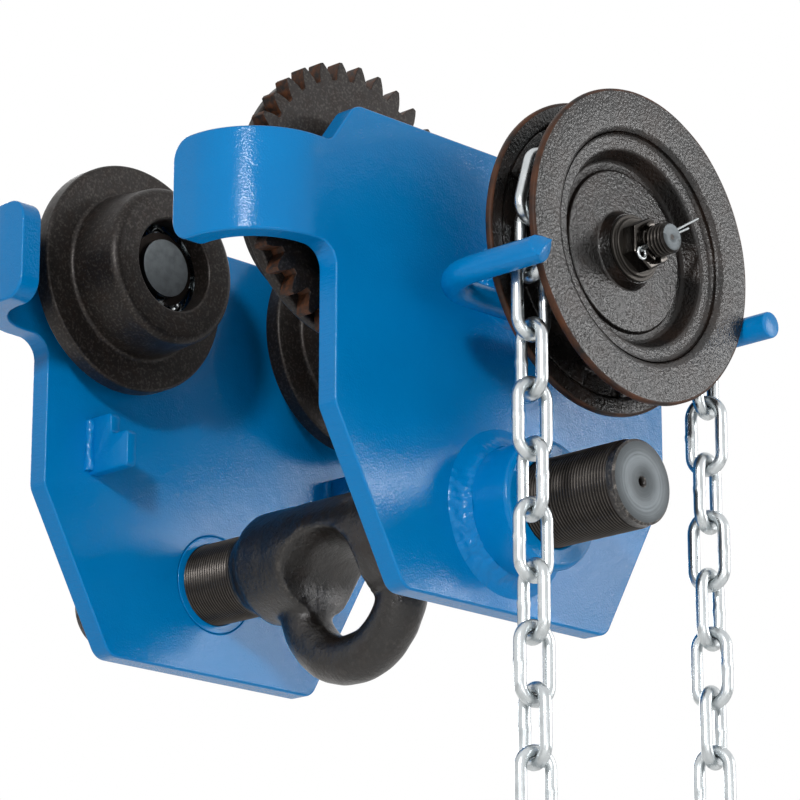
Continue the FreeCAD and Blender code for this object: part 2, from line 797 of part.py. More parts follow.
def castle_nut():
    """Hexagon nut with a slotted crown."""
    corner_radius = nut_across_flats / math.sqrt(3)
    corners = []
    for index in range(6):
        angle = math.radians(60 * index)
        corners.append(vector(corner_radius * math.cos(angle), castle_base,
                              shaft_z + corner_radius * math.sin(angle)))
    hexagon = Part.Face(Part.makePolygon(corners + [corners[0]]))
    body = hexagon.extrude(vector(0, castle_hex_height, 0))
    bevel = turned([
        (0, castle_base, 0),
        (corner_radius, castle_base, 0),
        (corner_radius, castle_crown - (corner_radius - nut_across_flats / 2) / 2, 0),
        (nut_across_flats / 2, castle_crown, 0),
        (0, castle_crown, 0),
    ], 0, shaft_z)
    body = body.common(bevel)
    body = body.fuse(rod_y(castle_crown_radius, castle_crown, castle_crown + castle_crown_height, 0, shaft_z))
    body = body.cut(rod_y(stud_radius + running_clearance, castle_base, stud_end, 0, shaft_z))
    for index in range(3):
        slot = Part.makeBox(4 * castle_crown_radius, castle_crown_height, castle_slot_width,
                            vector(-2 * castle_crown_radius, castle_crown, shaft_z - castle_slot_width / 2))
        slot.rotate(vector(0, 0, shaft_z), AXIS_Y, -split_pin_angle + 60 * index)
        body = body.cut(slot)
    return outward(body.removeSplitter())


def split_pin():
    """Split pin with an eye at one end and two legs of different length."""
    shank = castle_crown_radius + 2 * split_pin_radius
    eye_centre = -shank - split_pin_eye_radius
    half = Part.makeCylinder(split_pin_radius, shank + split_pin_short_leg, vector(-shank, pin_y, shaft_z),
                             AXIS_X)
    long_leg = Part.makeCylinder(split_pin_radius, shank + split_pin_long_leg,
                                 vector(-shank, pin_y, shaft_z), AXIS_X)
    keep = Part.makeBox(4 * split_pin_long_leg, 2 * split_pin_radius, 4 * split_pin_radius,
                        vector(-2 * split_pin_long_leg, pin_y, shaft_z - 2 * split_pin_radius))
    eye = Part.makeTorus(split_pin_eye_radius, split_pin_radius, vector(eye_centre, pin_y, shaft_z), AXIS_Y)
    body = half.fuse(long_leg.common(keep)).fuse(eye).removeSplitter()
    body.rotate(vector(0, 0, shaft_z), AXIS_Y, -split_pin_angle)
    return outward(body)


def round_bend(radius, section, centre, start, axis, angle):
    """Piece of bent rod: a round section at start from the centre, turned about the axis."""
    along = axis.cross(start)
    circle = Part.Circle(centre + start * radius, along, section).toShape()
    return outward(Part.Face(Part.Wire(circle)).revolve(centre, axis, angle))


def chain_link():
    """One round-wire link lying in the XZ plane with its length along X."""
    wire = chain_wire / 2
    bend = link_inner_width / 2 + wire
    straight = link_inner_length / 2 - link_inner_width / 2
    pieces = []
    for direction in (-1, 1):
        pieces.append(Part.makeCylinder(wire, 2 * straight, vector(-straight, 0, direction * bend), AXIS_X))
        pieces.append(round_bend(bend, wire, vector(direction * straight, 0, 0),
                                 vector(0, 0, direction), AXIS_Y, 180))
    return outward(pieces[0].multiFuse(pieces[1:]).removeSplitter())


def chain_joints():
    """Points where neighbouring links meet, once round the closed chain."""
    joints = []
    for index in range(chain_wrap_links + 1):
        angle = math.radians(180 - chain_lead_angle - index * chain_wrap_step)
        joints.append((chain_wrap_radius * math.cos(angle), shaft_z + chain_wrap_radius * math.sin(angle)))
    first_x, first_z = joints[0]
    last_x, last_z = joints[-1]
    drop = chain_strand_links * chain_pitch
    for index in range(1, chain_strand_links):
        joints.append((last_x, last_z - index * chain_pitch))
    for x, z in joints[:chain_wrap_links + 1]:
        joints.append((first_x + last_x - x, first_z + last_z - drop - z))
    for index in range(1, chain_strand_links):
        joints.append((first_x, first_z - drop + index * chain_pitch))
    return joints


def hand_chain():
    """Endless hand chain: over the wheel, down both sides and round at the bottom."""
    joints = chain_joints()
    pattern = chain_link()
    links = []
    for index in range(len(joints)):
        start_x, start_z = joints[index]
        end_x, end_z = joints[(index + 1) % len(joints)]
        link = pattern.copy()
        if index % 2:
            link.rotate(ORIGIN, AXIS_X, 90)
        tilt = math.degrees(math.atan2(end_z - start_z, end_x - start_x))
        link.rotate(ORIGIN, AXIS_Y, -tilt)
        link.translate(vector((start_x + end_x) / 2, chain_plane, (start_z + end_z) / 2))
        links.append(link)
    return Part.makeCompound(links)


def chain_guide():
    """Round rod bent to a U, with an arm on either side of the chain wheel."""
    arm_end = plate_outer + guide_reach
    bend_y = guide_base_y + guide_bend_radius
    base_half = guide_half_span - guide_bend_radius
    base = Part.makeCylinder(guide_rod_radius, 2 * base_half,
                             vector(-base_half, guide_base_y, guide_z), AXIS_X)
    pieces = []
    for direction in (-1, 1):
        pieces.append(rod_y(guide_rod_radius, bend_y, arm_end, direction * guide_half_span, guide_z))
        pieces.append(round_bend(guide_bend_radius, guide_rod_radius,
                                 vector(direction * base_half, bend_y, guide_z),
                                 vector(direction, 0, 0), AXIS_Z, -90 * direction))
    return outward(base.multiFuse(pieces).removeSplitter())


def guide_weld():
    """Weld metal between the guide rod and the shaft housing."""
    block = Part.makeBox(2 * guide_weld_half_length, guide_weld_width, guide_drop - guide_rod_radius,
                         vector(-guide_weld_half_length, guide_base_y - guide_weld_width / 2, guide_z))
    block = block.cut(rod_y(housing_radius, plate_inner, housing_end, 0, shaft_z))
    return outward(block.cut(chain_guide()))


def write(name, shape):
    shape.exportStep("parts/" + name + ".step")


def write_side(prefix, move):
    """Pieces that both side plates carry; move puts them on their side."""
    write(prefix + "_round_nut", move(round_nut()))
    write(prefix + "_nut_weld", move(weld_ring(nut_radius + running_clearance, nut_weld_width,
                                               nut_weld_height, bar_z)))
    for label, direction in (("left", -1), ("right", 1)):
        x = direction * axle_x
        name = prefix + "_" + label
        write(name + "_axle", move(axle(x)))
        write(name + "_axle_circlip", move(axle_circlip(x)))
        write(name + "_bearing_inner_ring", move(bearing_inner_ring(x)))
        write(name + "_bearing_outer_ring", move(bearing_outer_ring(x)))
        write(name + "_bearing_balls", move(bearing_balls(x)))
        write(name + "_wheel_circlip", move(wheel_circlip(x)))
        write(name + "_anti_tilt_lug", move(anti_tilt_lug(direction)))


def mesh_angles():
    """Tooth directions: a pinion gap faces the left gear's tooth, and the right gear follows the pinion."""
    towards_left = 180 - math.degrees(math.atan2(shaft_drop, axle_x))
    towards_right = 180 - towards_left
    pinion_step = 360 / pinion_teeth
    pinion = towards_left + pinion_step / 2
    left = towards_left - 180
    gap = (pinion + pinion_step / 2 - towards_right) % pinion_step
    right = towards_right + 180 - gap * pinion_teeth / gear_teeth
    return pinion, left, right


def main():
    os.makedirs("parts", exist_ok=True)
    pinion_angle, left_angle, right_angle = mesh_angles()

    write("rear_side_plate", side_plate())
    drive_plate = side_plate().cut(plate_hole(housing_radius + seat_clearance, 0, shaft_z))
    write("drive_side_plate", on_drive_side(drive_plate))
    write_side("rear", lambda shape: shape)
    write_side("drive", on_drive_side)
    write("rear_left_wheel", plain_wheel(-axle_x))
    write("rear_right_wheel", plain_wheel(axle_x))
    write("drive_left_geared_wheel", on_drive_side(geared_wheel(-axle_x, left_angle)))
    write("drive_right_geared_wheel", on_drive_side(geared_wheel(axle_x, right_angle)))
    write("load_bar", load_bar())

    write("shaft_housing", on_drive_side(shaft_housing()))
    write("housing_weld", on_drive_side(weld_ring(housing_radius, housing_weld_width,
                                                  housing_weld_width, shaft_z)))
    write("shaft_outer_bush", on_drive_side(flanged_bush(housing_end, -1)))
    write("shaft_inner_bush", on_drive_side(flanged_bush(plate_inner, 1)))
    write("pinion_shaft", on_drive_side(hand_wheel_shaft(pinion_angle)))
    write("shaft_key", on_drive_side(key_block(0)))
    write("hand_chain_wheel", on_drive_side(hand_chain_wheel()))
    write("hub_washer", on_drive_side(hub_washer()))
    write("castle_nut", on_drive_side(castle_nut()))
    write("split_pin", on_drive_side(split_pin()))
    write("chain_guide", on_drive_side(chain_guide()))
    write("guide_weld", on_drive_side(guide_weld()))
    write("hand_chain", on_drive_side(hand_chain()))


main()
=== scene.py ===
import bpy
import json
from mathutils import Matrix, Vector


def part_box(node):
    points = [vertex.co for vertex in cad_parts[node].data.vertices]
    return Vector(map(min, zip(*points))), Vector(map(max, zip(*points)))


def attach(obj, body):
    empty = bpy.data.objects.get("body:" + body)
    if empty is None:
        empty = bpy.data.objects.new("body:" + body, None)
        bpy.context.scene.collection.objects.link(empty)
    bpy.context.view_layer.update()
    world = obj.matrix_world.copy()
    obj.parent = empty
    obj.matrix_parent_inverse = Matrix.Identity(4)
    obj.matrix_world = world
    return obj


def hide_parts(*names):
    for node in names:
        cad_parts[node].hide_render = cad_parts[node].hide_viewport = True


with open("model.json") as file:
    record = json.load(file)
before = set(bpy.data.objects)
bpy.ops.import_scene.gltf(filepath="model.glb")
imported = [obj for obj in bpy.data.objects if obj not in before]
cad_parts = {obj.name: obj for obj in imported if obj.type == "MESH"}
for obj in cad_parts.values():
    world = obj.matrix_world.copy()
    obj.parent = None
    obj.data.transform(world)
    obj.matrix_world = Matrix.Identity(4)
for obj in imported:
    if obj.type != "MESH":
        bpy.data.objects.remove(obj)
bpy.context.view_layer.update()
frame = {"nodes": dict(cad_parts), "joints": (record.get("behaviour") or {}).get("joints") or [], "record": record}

import json
import math
import random

import bmesh
import bpy
from bmesh.types import BMEdge, BMVert
from bpy.props import FloatProperty, FloatVectorProperty, IntProperty, PointerProperty
from mathutils import Matrix, Vector, noise

bl_info = {
    "name": "Geared Beam Trolley",
    "version": (1, 0, 0),
    "blender": (4, 5, 0),
    "location": "View3D > Sidebar > Trolley",
    "description": "Dresses a geared beam trolley in enamel, cast iron, forged steel and zinc",
    "category": "Add Mesh",
}


def mm(value):
    """Millimetres as metres."""
    return value / 1000.0


def linear(code):
    """Linear colour with alpha from an sRGB hex value such as #0866B2."""
    colour = []
    for start in (1, 3, 5):
        part = int(code[start:start + 2], 16) / 255
        colour.append(part / 12.92 if part <= 0.04045 else ((part + 0.055) / 1.055) ** 2.4)
    return (*colour, 1.0)


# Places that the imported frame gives. Shapes are made on the +Y side and mirrored to the drive side.
JOINTS = {joint["name"]: joint for joint in frame["joints"]}
BAR_Z = JOINTS["bar_turn"]["pos_m"][2]
SHAFT_Z = JOINTS["hand_wheel_spin"]["pos_m"][2]
AXLE_X, _, AXLE_Z = JOINTS["rear_right_wheel_spin"]["pos_m"]
PLATE_LOW, PLATE_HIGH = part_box("rear_side_plate")
NUT_LOW, NUT_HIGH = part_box("rear_round_nut")
BAR_LOW, BAR_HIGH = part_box("load_bar")
BAR_MIDDLE = (BAR_LOW.y + BAR_HIGH.y) / 2
GEAR_LOW, GEAR_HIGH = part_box("drive_right_geared_wheel")
LUG_LOW, LUG_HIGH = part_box("rear_right_anti_tilt_lug")
HOUSING_LOW, HOUSING_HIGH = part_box("shaft_housing")
CHAIN_WHEEL_LOW, CHAIN_WHEEL_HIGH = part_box("hand_chain_wheel")
WASHER_LOW, WASHER_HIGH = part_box("hub_washer")
STUD_END = -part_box("pinion_shaft")[0].y
GUIDE_LOW, GUIDE_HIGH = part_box("chain_guide")
PLATE_INNER = NUT_LOW.y
PLATE_OUTER = PLATE_HIGH.y
GEAR_BACK = -GEAR_LOW.y
WHEEL_END = -GEAR_HIGH.y

FULL_TURN = 2 * math.pi
QUARTER_TURN = math.pi / 2
MERGE_GAP = mm(0.003)
ON_SURFACE = mm(0.01)
FIT_PLAY = mm(0.05)
# A face is a wall, not an end face, when its normal has less than this along Y.
WALL_NORMAL = 0.6

CAMERA_PLACE = Vector((-1.0370, -1.0489, -0.4552))
CAMERA_LOOK = Vector((0.6841, 0.6715, 0.2847))
CAMERA_RIGHT = Vector((0.7005, -0.7136, 0.0))
CAMERA_ROLL = math.radians(0.08)
CAMERA_LENS = 162.15
FLOOR_Z = -0.53
FLOOR_GLOW = 0.25
AMBIENT = 0.22
LAMP_TARGET = Vector((0, -0.05, -0.02))
# Name, place, size in metres and power in watts of each lamp.
LAMPS = (
    ("key_lamp", (-1.5, -0.95, 0.4), 0.16, 17),
    ("sheen_lamp", (1.06, -0.95, 0.12), 0.5, 3.5),
    ("glint_lamp", (0.77, -0.95, 0.25), 0.2, 2),
    ("low_lamp", (-0.6, -1.5, -0.5), 0.8, 6.5),
    ("rear_lamp", (0.6, 1.8, 0.6), 1.2, 22),
)


def a_length(name, description, size):
    """Property for a length, its default given in millimetres."""
    return FloatProperty(name=name, description=description, default=mm(size), unit="LENGTH", precision=5)


def an_angle(name, description, degrees):
    """Property for an angle, its default given in degrees."""
    return FloatProperty(name=name, description=description, default=math.radians(degrees), unit="ROTATION")


def a_count(name, description, default):
    """Property for a whole number."""
    return IntProperty(name=name, description=description, default=default, min=1)


def a_colour(name, description, code):
    """Property for a base colour, its default given as an sRGB hex value."""
    return FloatVectorProperty(name=name, description=description, default=linear(code), size=4,
                               subtype="COLOR", min=0, max=1)


class PlateSizes(bpy.types.PropertyGroup):
    """Sizes of the bent side plates and their lugs."""

    edge_round: a_length("Edge round", "Rounding of the painted plate edges", 0.9)
    corner_round: a_length("Corner round", "Radius of the plate's corners", 8.0)
    notch_round: a_length("Notch round", "Radius in the notch above the horn", 5.5)
    horn_round: a_length("Horn round", "Radius of the horn's tip corners and of the corner below it", 9.0)
    horn_bend: a_length("Horn bend", "Inner radius of the bent horn", 25.0)
    horn_straight: a_length("Horn root", "Flat length between the plate's side and the bend", 10.7)
    horn_shoulder: a_length("Horn shoulder", "Step from the plate's side to the notch above the horn", 2.9)
    horn_low: a_length("Horn underside", "Height of the horn's underside above the load bar's axis", 91.5)
    horn_high: a_length("Horn top", "Height of the horn's top above the load bar's axis", 134.4)
    waist_height: a_length("Waist", "Height above the bar's axis at which the plate starts to taper", 26.7)
    bottom_half_width: a_length("Bottom half width", "Half the width of the plate's bottom edge", 59.6)
    top_inset: a_length("Top inset", "How far the top edge's corners stand in from the sides", 10.3)
    bend_cuts: a_count("Bend cuts", "Strips that the horn's bend is made of", 20)
    lug_step: a_length("Lug step", "Height of the lug's narrow upper part", 9.6)
    lug_nose: a_length("Lug nose", "How far the lug's lower part stands out past the upper part", 10.8)
    lug_thickness: a_length("Lug thickness", "Thickness of the flat lug", 5.0)


class BarSizes(bpy.types.PropertyGroup):
    """Sizes of the load bar and the nuts that it runs in."""

    radius: a_length("Bar radius", "Crest radius of the bar's thread", 18.0)
    thread_pitch: a_length("Thread pitch", "Pitch of the bar's thread", 1.5)
    thread_depth: a_length("Thread depth", "Depth of the bar's thread", 0.7)
    end_band: a_length("End band", "Plain length at the bar's end", 4.2)
    end_face: a_length("End face radius", "Radius of the turned end face", 16.3)
    eye_half_length: a_length("Eye half length", "Half the length of the forged middle", 58.0)
    eye_voxel: a_length("Eye grain", "Voxel size of the forged eye", 1.1)
    eye_smoothing: a_count("Eye smoothing", "Smoothing rounds that blend the forging", 16)
    spigot_radius: a_length("Nut spigot", "Radius of the nut's spigot in the plate", 21.5)
    nut_round: a_length("Nut edge", "Rounding of the nut's outer edge under its paint", 2.6)
    weld_width: a_length("Nut weld width", "Leg of the nut's weld on the plate", 8.0)
    weld_height: a_length("Nut weld height", "Leg of the nut's weld along the nut", 5.5)


class WheelSizes(bpy.types.PropertyGroup):
    """Sizes of the trolley wheels and their teeth."""

    tread_taper: a_length("Tread taper", "How much smaller the tread is at its inner end", 2.0)
    tread_width: a_length("Tread width", "Width of the tread", 25.0)
    flange_thickness: a_length("Geared flange thickness", "Thickness of the geared wheel's flange", 5.0)
    flange_radius: a_length("Geared flange radius", "Radius of the geared wheel's flange", 56.5)
    plain_thickness: a_length("Plain flange thickness", "Thickness of the plain wheel's flange", 9.0)
    plain_radius: a_length("Plain flange radius", "Radius of the plain wheel's flange", 50.0)
    seat_radius: a_length("Bearing seat", "Radius of the bearing's seat in the wheel", 26.02)
    lip_radius: a_length("Lip hole", "Radius of the hole at the wheel's inner end", 20.0)
    tooth_module: a_length("Tooth module", "Module of the cut teeth", 3.4)
    gear_teeth: a_count("Gear teeth", "Teeth on a geared wheel", 33)
    pinion_teeth: a_count("Pinion teeth", "Teeth on the pinion", 9)
    pressure_angle: an_angle("Pressure angle", "Pressure angle of the teeth", 25.0)
    tooth_edge: a_length("Tooth edge", "Worn bevel along the tooth edges", 0.35)


class HandDriveSizes(bpy.types.PropertyGroup):
    """Sizes of the hand chain wheel, its fastening, the chain and the guide."""

    rim_thickness: a_length("Rim thickness", "Thickness of the chain wheel's two flanges", 3.2)
    slot_floor: a_length("Slot floor", "Radius of the floor that the chain lies on", 48.2)
    dish_outer: a_length("Dish outer radius", "Outer radius of the ring-shaped dish", 47.0)
    dish_ledge: a_length("Dish ledge radius", "Radius of the ledge inside the dish", 40.5)
    dish_inner: a_length("Dish inner radius", "Radius of the boss inside the dish", 33.0)
    pocket_count: a_count("Pockets", "Pockets for flat-lying links round the wheel", 7)
    hub_depth: a_length("Hub depth", "How far the hub's face lies behind the front of the rim", 10.0)
    nut_flats: a_length("Nut across flats", "Width of the castle nut across its flats", 19.0)
    nut_height: a_length("Nut height", "Height of the castle nut's hexagon", 6.5)
    crown_height: a_length("Crown height", "Height of the castle nut's slotted crown", 3.5)
    crown_radius: a_length("Crown radius", "Outer radius of the slotted crown", 8.6)
    stud_radius: a_length("Stud radius", "Radius of the shaft's threaded end", 6.0)
    pin_angle: an_angle("Split pin angle", "Direction of the split pin's legs", 30.0)
    pin_radius: a_length("Split pin radius", "Radius of the split pin", 1.15)
    chain_wire: a_length("Chain wire", "Wire diameter of the hand chain", 5.0)
    link_width: a_length("Link inner width", "Inner width of a chain link", 8.4)
    chain_pitch: a_length("Chain pitch", "Pitch of the hand chain", 24.0)
    wrap_radius: a_length("Chain wrap radius", "Radius on which the links meet round the wheel", 52.6)
    wrap_step: an_angle("Chain wrap step", "Angle from one link to the next round the wheel", 26.0)
    lead_angle: an_angle("Chain lead angle", "How far above the axis the left strand leaves the wheel", 4.2)
    wrap_links: a_count("Links round the wheel", "Links that lie round the wheel", 7)
    strand_links: a_count("Links in a strand", "Links between the top and the bottom bends", 10)
    strand_twist: an_angle("Strand twist", "How far the hanging links are turned about the strand", -12.0)
    guide_bend: a_length("Guide bend", "Bend radius of the guide rod's elbows", 22.0)


class Finishes(bpy.types.PropertyGroup):
    """Base colours of the finishes."""

    enamel: a_colour("Blue enamel", "Paint of the plates, nuts, housing and guide", "#0075B8")
    enamel_thin: a_colour("Thin enamel", "Paint where it is drawn thin", "#007FC2")
    casting: a_colour("Black casting", "Paint of the chain wheel", "#0C0A09")
    casting_brown: a_colour("Brown casting", "Chain wheel where the iron shows through", "#1E1510")
    rust: a_colour("Rust", "Rust film on rims and teeth", "#4F2E1A")
    gear: a_colour("Gear steel", "Oiled side of the geared wheels", "#1E1A18")
    forging: a_colour("Forging scale", "Black scale of the load bar", "#171412")
    oxide: a_colour("Black oxide", "Nut that holds the chain wheel", "#45423F")
    worn_steel: a_colour("Worn steel", "Steel where scale has rubbed off", "#7C7670")
    turned_steel: a_colour("Turned steel", "Freshly turned faces", "#5C6164")
    zinc: a_colour("Zinc plate", "Plating of the hand chain and the split pin", "#CDD2D4")
    bronze: a_colour("Bronze", "Bearing bushes", "#B98B4E")


def plate_sizes():
    return bpy.context.scene.trolley_plates


def bar_sizes():
    return bpy.context.scene.trolley_bar


def wheel_sizes():
    return bpy.context.scene.trolley_wheels


def drive_sizes():
    return bpy.context.scene.trolley_drive


def finishes():
    return bpy.context.scene.trolley_finishes


def add_node(tree, kind, inputs=None, **settings):
    """Add a node with its settings; an input is a value, a socket or a node, whose first output is meant."""
    node = tree.nodes.new(kind)
    for name, value in settings.items():
        setattr(node, name, value)
    for key, value in (inputs or {}).items():
        if isinstance(value, bpy.types.Node):
            value = next(output for output in value.outputs if output.enabled)
        if isinstance(value, bpy.types.NodeSocket):
            tree.links.new(value, node.inputs[key])
        else:
            node.inputs[key].default_value = value
    return node


def begin_material(name):
    """New node material: the material, its empty node tree and its object coordinates."""
    material = bpy.data.materials.new(name)
    material.use_nodes = True
    material.node_tree.nodes.clear()
    tree = material.node_tree
    return material, tree, add_node(tree, "ShaderNodeTexCoord").outputs["Object"]


def end_material(material, inputs, patches, low, high, span=(0.0, 1.0)):
    """Principled shader with these inputs and a roughness from low to high over the patches."""
    tree = material.node_tree
    dull = add_node(tree, "ShaderNodeMapRange", {
        "Value": patches, "From Min": span[0], "From Max": span[1], "To Min": low, "To Max": high})
    shader = add_node(tree, "ShaderNodeBsdfPrincipled", {"Roughness": dull, **inputs})
    add_node(tree, "ShaderNodeOutputMaterial", {"Surface": shader})
    return material


def blend(tree, coords, spot, spread, colours, detail=4.0, rough=0.5):
    """Two colours in patches of one spot size: the patches and the blended colour."""
    patches = add_node(tree, "ShaderNodeTexNoise", {
        "Vector": coords, "Scale": 1 / spot, "Detail": detail, "Roughness": rough})
    share = add_node(tree, "ShaderNodeMapRange", {
        "Value": patches, "From Min": spread[0], "From Max": spread[1], "To Max": spread[2]})
    tint = add_node(tree, "ShaderNodeMix", {0: share, 6: colours[0], 7: colours[1]}, data_type="RGBA")
    return patches, tint


def relief(tree, coords, spot, detail, strength, depth, rough=0.5, **below):
    """Uneven surface with bumps of one spot size, laid over the relief below it."""
    height = add_node(tree, "ShaderNodeTexNoise", {
        "Vector": coords, "Scale": 1 / spot, "Detail": detail, "Roughness": rough})
    return add_node(tree, "ShaderNodeBump", {
        "Height": height, "Strength": strength, "Distance": depth, **below})


def axis_distance(tree, coords, x, z):
    """Distance from the line along Y through x and z."""
    local = add_node(tree, "ShaderNodeMapping", {"Vector": coords, "Location": (-x, 0, -z)})
    flat = add_node(tree, "ShaderNodeVectorMath", {0: local, 1: (1, 0, 1)}, operation="MULTIPLY")
    return add_node(tree, "ShaderNodeVectorMath", {0: flat}, operation="LENGTH")


def blue_enamel(name, drag_lines=False):
    """Enamel sprayed on steel: deep, glossy and finely orange-peeled; flame-cut edges keep drag lines."""
    material, tree, coords = begin_material(name)
    pool = add_node(tree, "ShaderNodeTexNoise", {"Vector": coords, "Scale": 1 / mm(26), "Detail": 3.0})
    tint = add_node(tree, "ShaderNodeMix", {
        0: pool, 6: finishes().enamel, 7: finishes().enamel_thin}, data_type="RGBA")
    flow = relief(tree, coords, mm(7), 1.0, 0.5, mm(0.3))
    coat = relief(tree, coords, mm(0.8), 2.0, 1.0, mm(0.12), Normal=flow)
    if drag_lines:
        stretch = add_node(tree, "ShaderNodeMapping", {
            "Vector": coords, "Scale": (1 / mm(1.2), 1 / mm(14), 1 / mm(1.2)), "Rotation": (0.12, 0, 0.12)})
        coat = relief(tree, stretch, 1.0, 2.0, 0.5, mm(0.4), Normal=coat)
    inputs = {"Base Color": tint, "Normal": coat, "Specular IOR Level": 0.2}
    return end_material(material, inputs, pool, 0.12, 0.2, span=(0.3, 0.7))


def black_casting(name, grain_depth, specular):
    """Thick black paint over a sand casting: pebbled grain with a soft sheen, brown where it is thin."""
    material, tree, coords = begin_material(name)
    patch, tint = blend(tree, coords, mm(14), (0.42, 0.68, 1.0),
                        (finishes().casting, finishes().casting_brown))
    grain = relief(tree, coords, mm(1.3), 2.0, 1.0, grain_depth, rough=0.55)
    inputs = {"Base Color": tint, "Normal": grain, "Specular IOR Level": specular}
    return end_material(material, inputs, patch, 0.2, 0.38)


def rusty_iron(name, dark, spot):
    """Bare iron under a dry rust film: brown and matt, in spots of a few millimetres."""
    material, tree, coords = begin_material(name)
    film, tint = blend(tree, coords, spot, (0.35, 0.65, 1.0), (dark, finishes().rust), rough=0.6)
    bump = add_node(tree, "ShaderNodeBump", {"Height": film, "Strength": 0.6, "Distance": mm(0.4)})
    inputs = {"Base Color": tint, "Normal": bump, "Specular IOR Level": 0.25}
    return end_material(material, inputs, film, 0.38, 0.72)


def oiled_steel(name, x, z):
    """Turned steel gone dark with oil: pale specks, and rings about the axle drawn wide enough to show."""
    material, tree, coords = begin_material(name)
    rings = add_node(tree, "ShaderNodeTexNoise", {
        "W": axis_distance(tree, coords, x, z), "Scale": 1 / mm(1.0), "Detail": 2.0}, noise_dimensions="1D")
    dirt, oiled = blend(tree, coords, mm(5), (0.45, 0.75, 1.0),
                        (finishes().gear, finishes().casting_brown))
    _, tint = blend(tree, coords, mm(1.1), (0.5, 0.72, 0.2), (oiled, finishes().worn_steel), detail=2.0)
    ring_bump = add_node(tree, "ShaderNodeBump", {"Height": rings, "Strength": 0.35, "Distance": mm(0.15)})
    bump = add_node(tree, "ShaderNodeBump", {
        "Height": dirt, "Strength": 0.3, "Distance": mm(0.3), "Normal": ring_bump})
    inputs = {"Base Color": tint, "Normal": bump, "Metallic": 0.55}
    return end_material(material, inputs, dirt, 0.3, 0.6)


def forging_scale(name):
    """Drop-forged steel under black scale: rough, faintly oily, with paler specks on the rims, partly rubbed scale
    and partly painted glints.
    """
    material, tree, coords = begin_material(name)
    edge = add_node(tree, "ShaderNodeNewGeometry").outputs["Pointiness"]
    speck = add_node(tree, "ShaderNodeTexNoise", {
        "Vector": coords, "Scale": 1 / mm(2.2), "Detail": 4.0, "Roughness": 0.65})
    # Paler specks on convex edges and faintly everywhere: partly rubbed-off scale, partly painted glints of light.
    rubbed_edges_and_glints = add_node(tree, "ShaderNodeMapRange", {
        "Value": edge, "From Min": 0.505, "From Max": 0.555, "To Min": 0.03})
    spots = add_node(tree, "ShaderNodeMapRange", {"Value": speck, "From Min": 0.5, "From Max": 0.72})
    wear_and_glint_specks = add_node(tree, "ShaderNodeMath", {0: rubbed_edges_and_glints, 1: spots}, operation="MULTIPLY")
    _, scale = blend(tree, coords, mm(13), (0.45, 0.7, 0.7),
                     (finishes().forging, finishes().casting_brown), detail=3.0)
    # The pale steel mixed in here paints both rubbed scale and glints of light.
    tint = add_node(tree, "ShaderNodeMix", {0: wear_and_glint_specks, 6: scale, 7: finishes().worn_steel}, data_type="RGBA")
    bump = add_node(tree, "ShaderNodeBump", {"Height": speck, "Strength": 0.8, "Distance": mm(0.5)})
    inputs = {"Base Color": tint, "Normal": bump, "Metallic": 0.2, "Specular IOR Level": 0.7}
    return end_material(material, inputs, speck, 0.2, 0.42)


def cut_thread(name, axis_z, root, crest):
    """Rolled thread gone dark with oil, its crests rubbed bright; the radius tells crest from root."""
    material, tree, coords = begin_material(name)
    height = add_node(tree, "ShaderNodeMapRange", {
        "Value": axis_distance(tree, coords, 0, axis_z), "From Min": root, "From Max": crest})
    rub = add_node(tree, "ShaderNodeTexNoise", {"Vector": coords, "Scale": 1 / mm(4), "Detail": 3.0})
    top = add_node(tree, "ShaderNodeMapRange", {"Value": height, "From Min": 0.45, "From Max": 0.95})
    bright = add_node(tree, "ShaderNodeMapRange", {"Value": rub, "To Min": 0.15, "To Max": 0.6})
    wear = add_node(tree, "ShaderNodeMath", {0: top, 1: bright}, operation="MULTIPLY")
    tint = add_node(tree, "ShaderNodeMix", {
        0: wear, 6: finishes().forging, 7: finishes().worn_steel}, data_type="RGBA")
    return end_material(material, {"Base Color": tint, "Metallic": 0.8}, rub, 0.26, 0.46)


def turned_face(name, axis_z, steel):
    """Lathe-turned steel: grey with rings that the tool left, drawn near a millimetre apart so they show."""
    material, tree, coords = begin_material(name)
    rings = add_node(tree, "ShaderNodeTexNoise", {
        "W": axis_distance(tree, coords, 0, axis_z), "Scale": 1 / mm(0.8), "Detail": 3.0},
        noise_dimensions="1D")
    film = add_node(tree, "ShaderNodeTexNoise", {"Vector": coords, "Scale": 1 / mm(6), "Detail": 3.0})
    mixed = add_node(tree, "ShaderNodeMath", {0: rings, 1: film}, operation="MULTIPLY")
    shade = add_node(tree, "ShaderNodeMath", {0: mixed, 1: 0.5}, operation="MULTIPLY")
    tint = add_node(tree, "ShaderNodeMix", {0: shade, 6: steel, 7: finishes().forging}, data_type="RGBA")
    bump = add_node(tree, "ShaderNodeBump", {"Height": rings, "Strength": 0.3, "Distance": mm(0.05)})
    inputs = {"Base Color": tint, "Normal": bump, "Metallic": 1.0}
    return end_material(material, inputs, rings, 0.42, 0.58)


def zinc_plate(name):
    """Bright zinc over drawn wire: pale bluish silver, a little cloudy, with soft drawing waves."""
    material, tree, coords = begin_material(name)
    cloud, tint = blend(tree, coords, mm(5), (0.35, 0.75, 0.3), (finishes().zinc, finishes().turned_steel))
    wave = relief(tree, coords, mm(2.5), 2.0, 0.25, mm(0.2))
    inputs = {"Base Color": tint, "Normal": wave, "Metallic": 1.0}
    return end_material(material, inputs, cloud, 0.2, 0.38)


def machined_metal(name, steel, low, high):
    """Machined metal: even colour, fine grain and a thin oil film."""
    material, tree, coords = begin_material(name)
    film, tint = blend(tree, coords, mm(4), (0.4, 0.8, 0.4), (steel, finishes().forging))
    grain = relief(tree, coords, mm(0.8), 2.0, 0.15, mm(0.08))
    inputs = {"Base Color": tint, "Normal": grain, "Metallic": 1.0}
    return end_material(material, inputs, film, low, high)


def finish_once(maker, name, *values):
    """The finish of that name, made the first time it is asked for."""
    return bpy.data.materials.get(name) or maker(name, *values)


def enamel():
    return finish_once(blue_enamel, "sprayed_enamel")


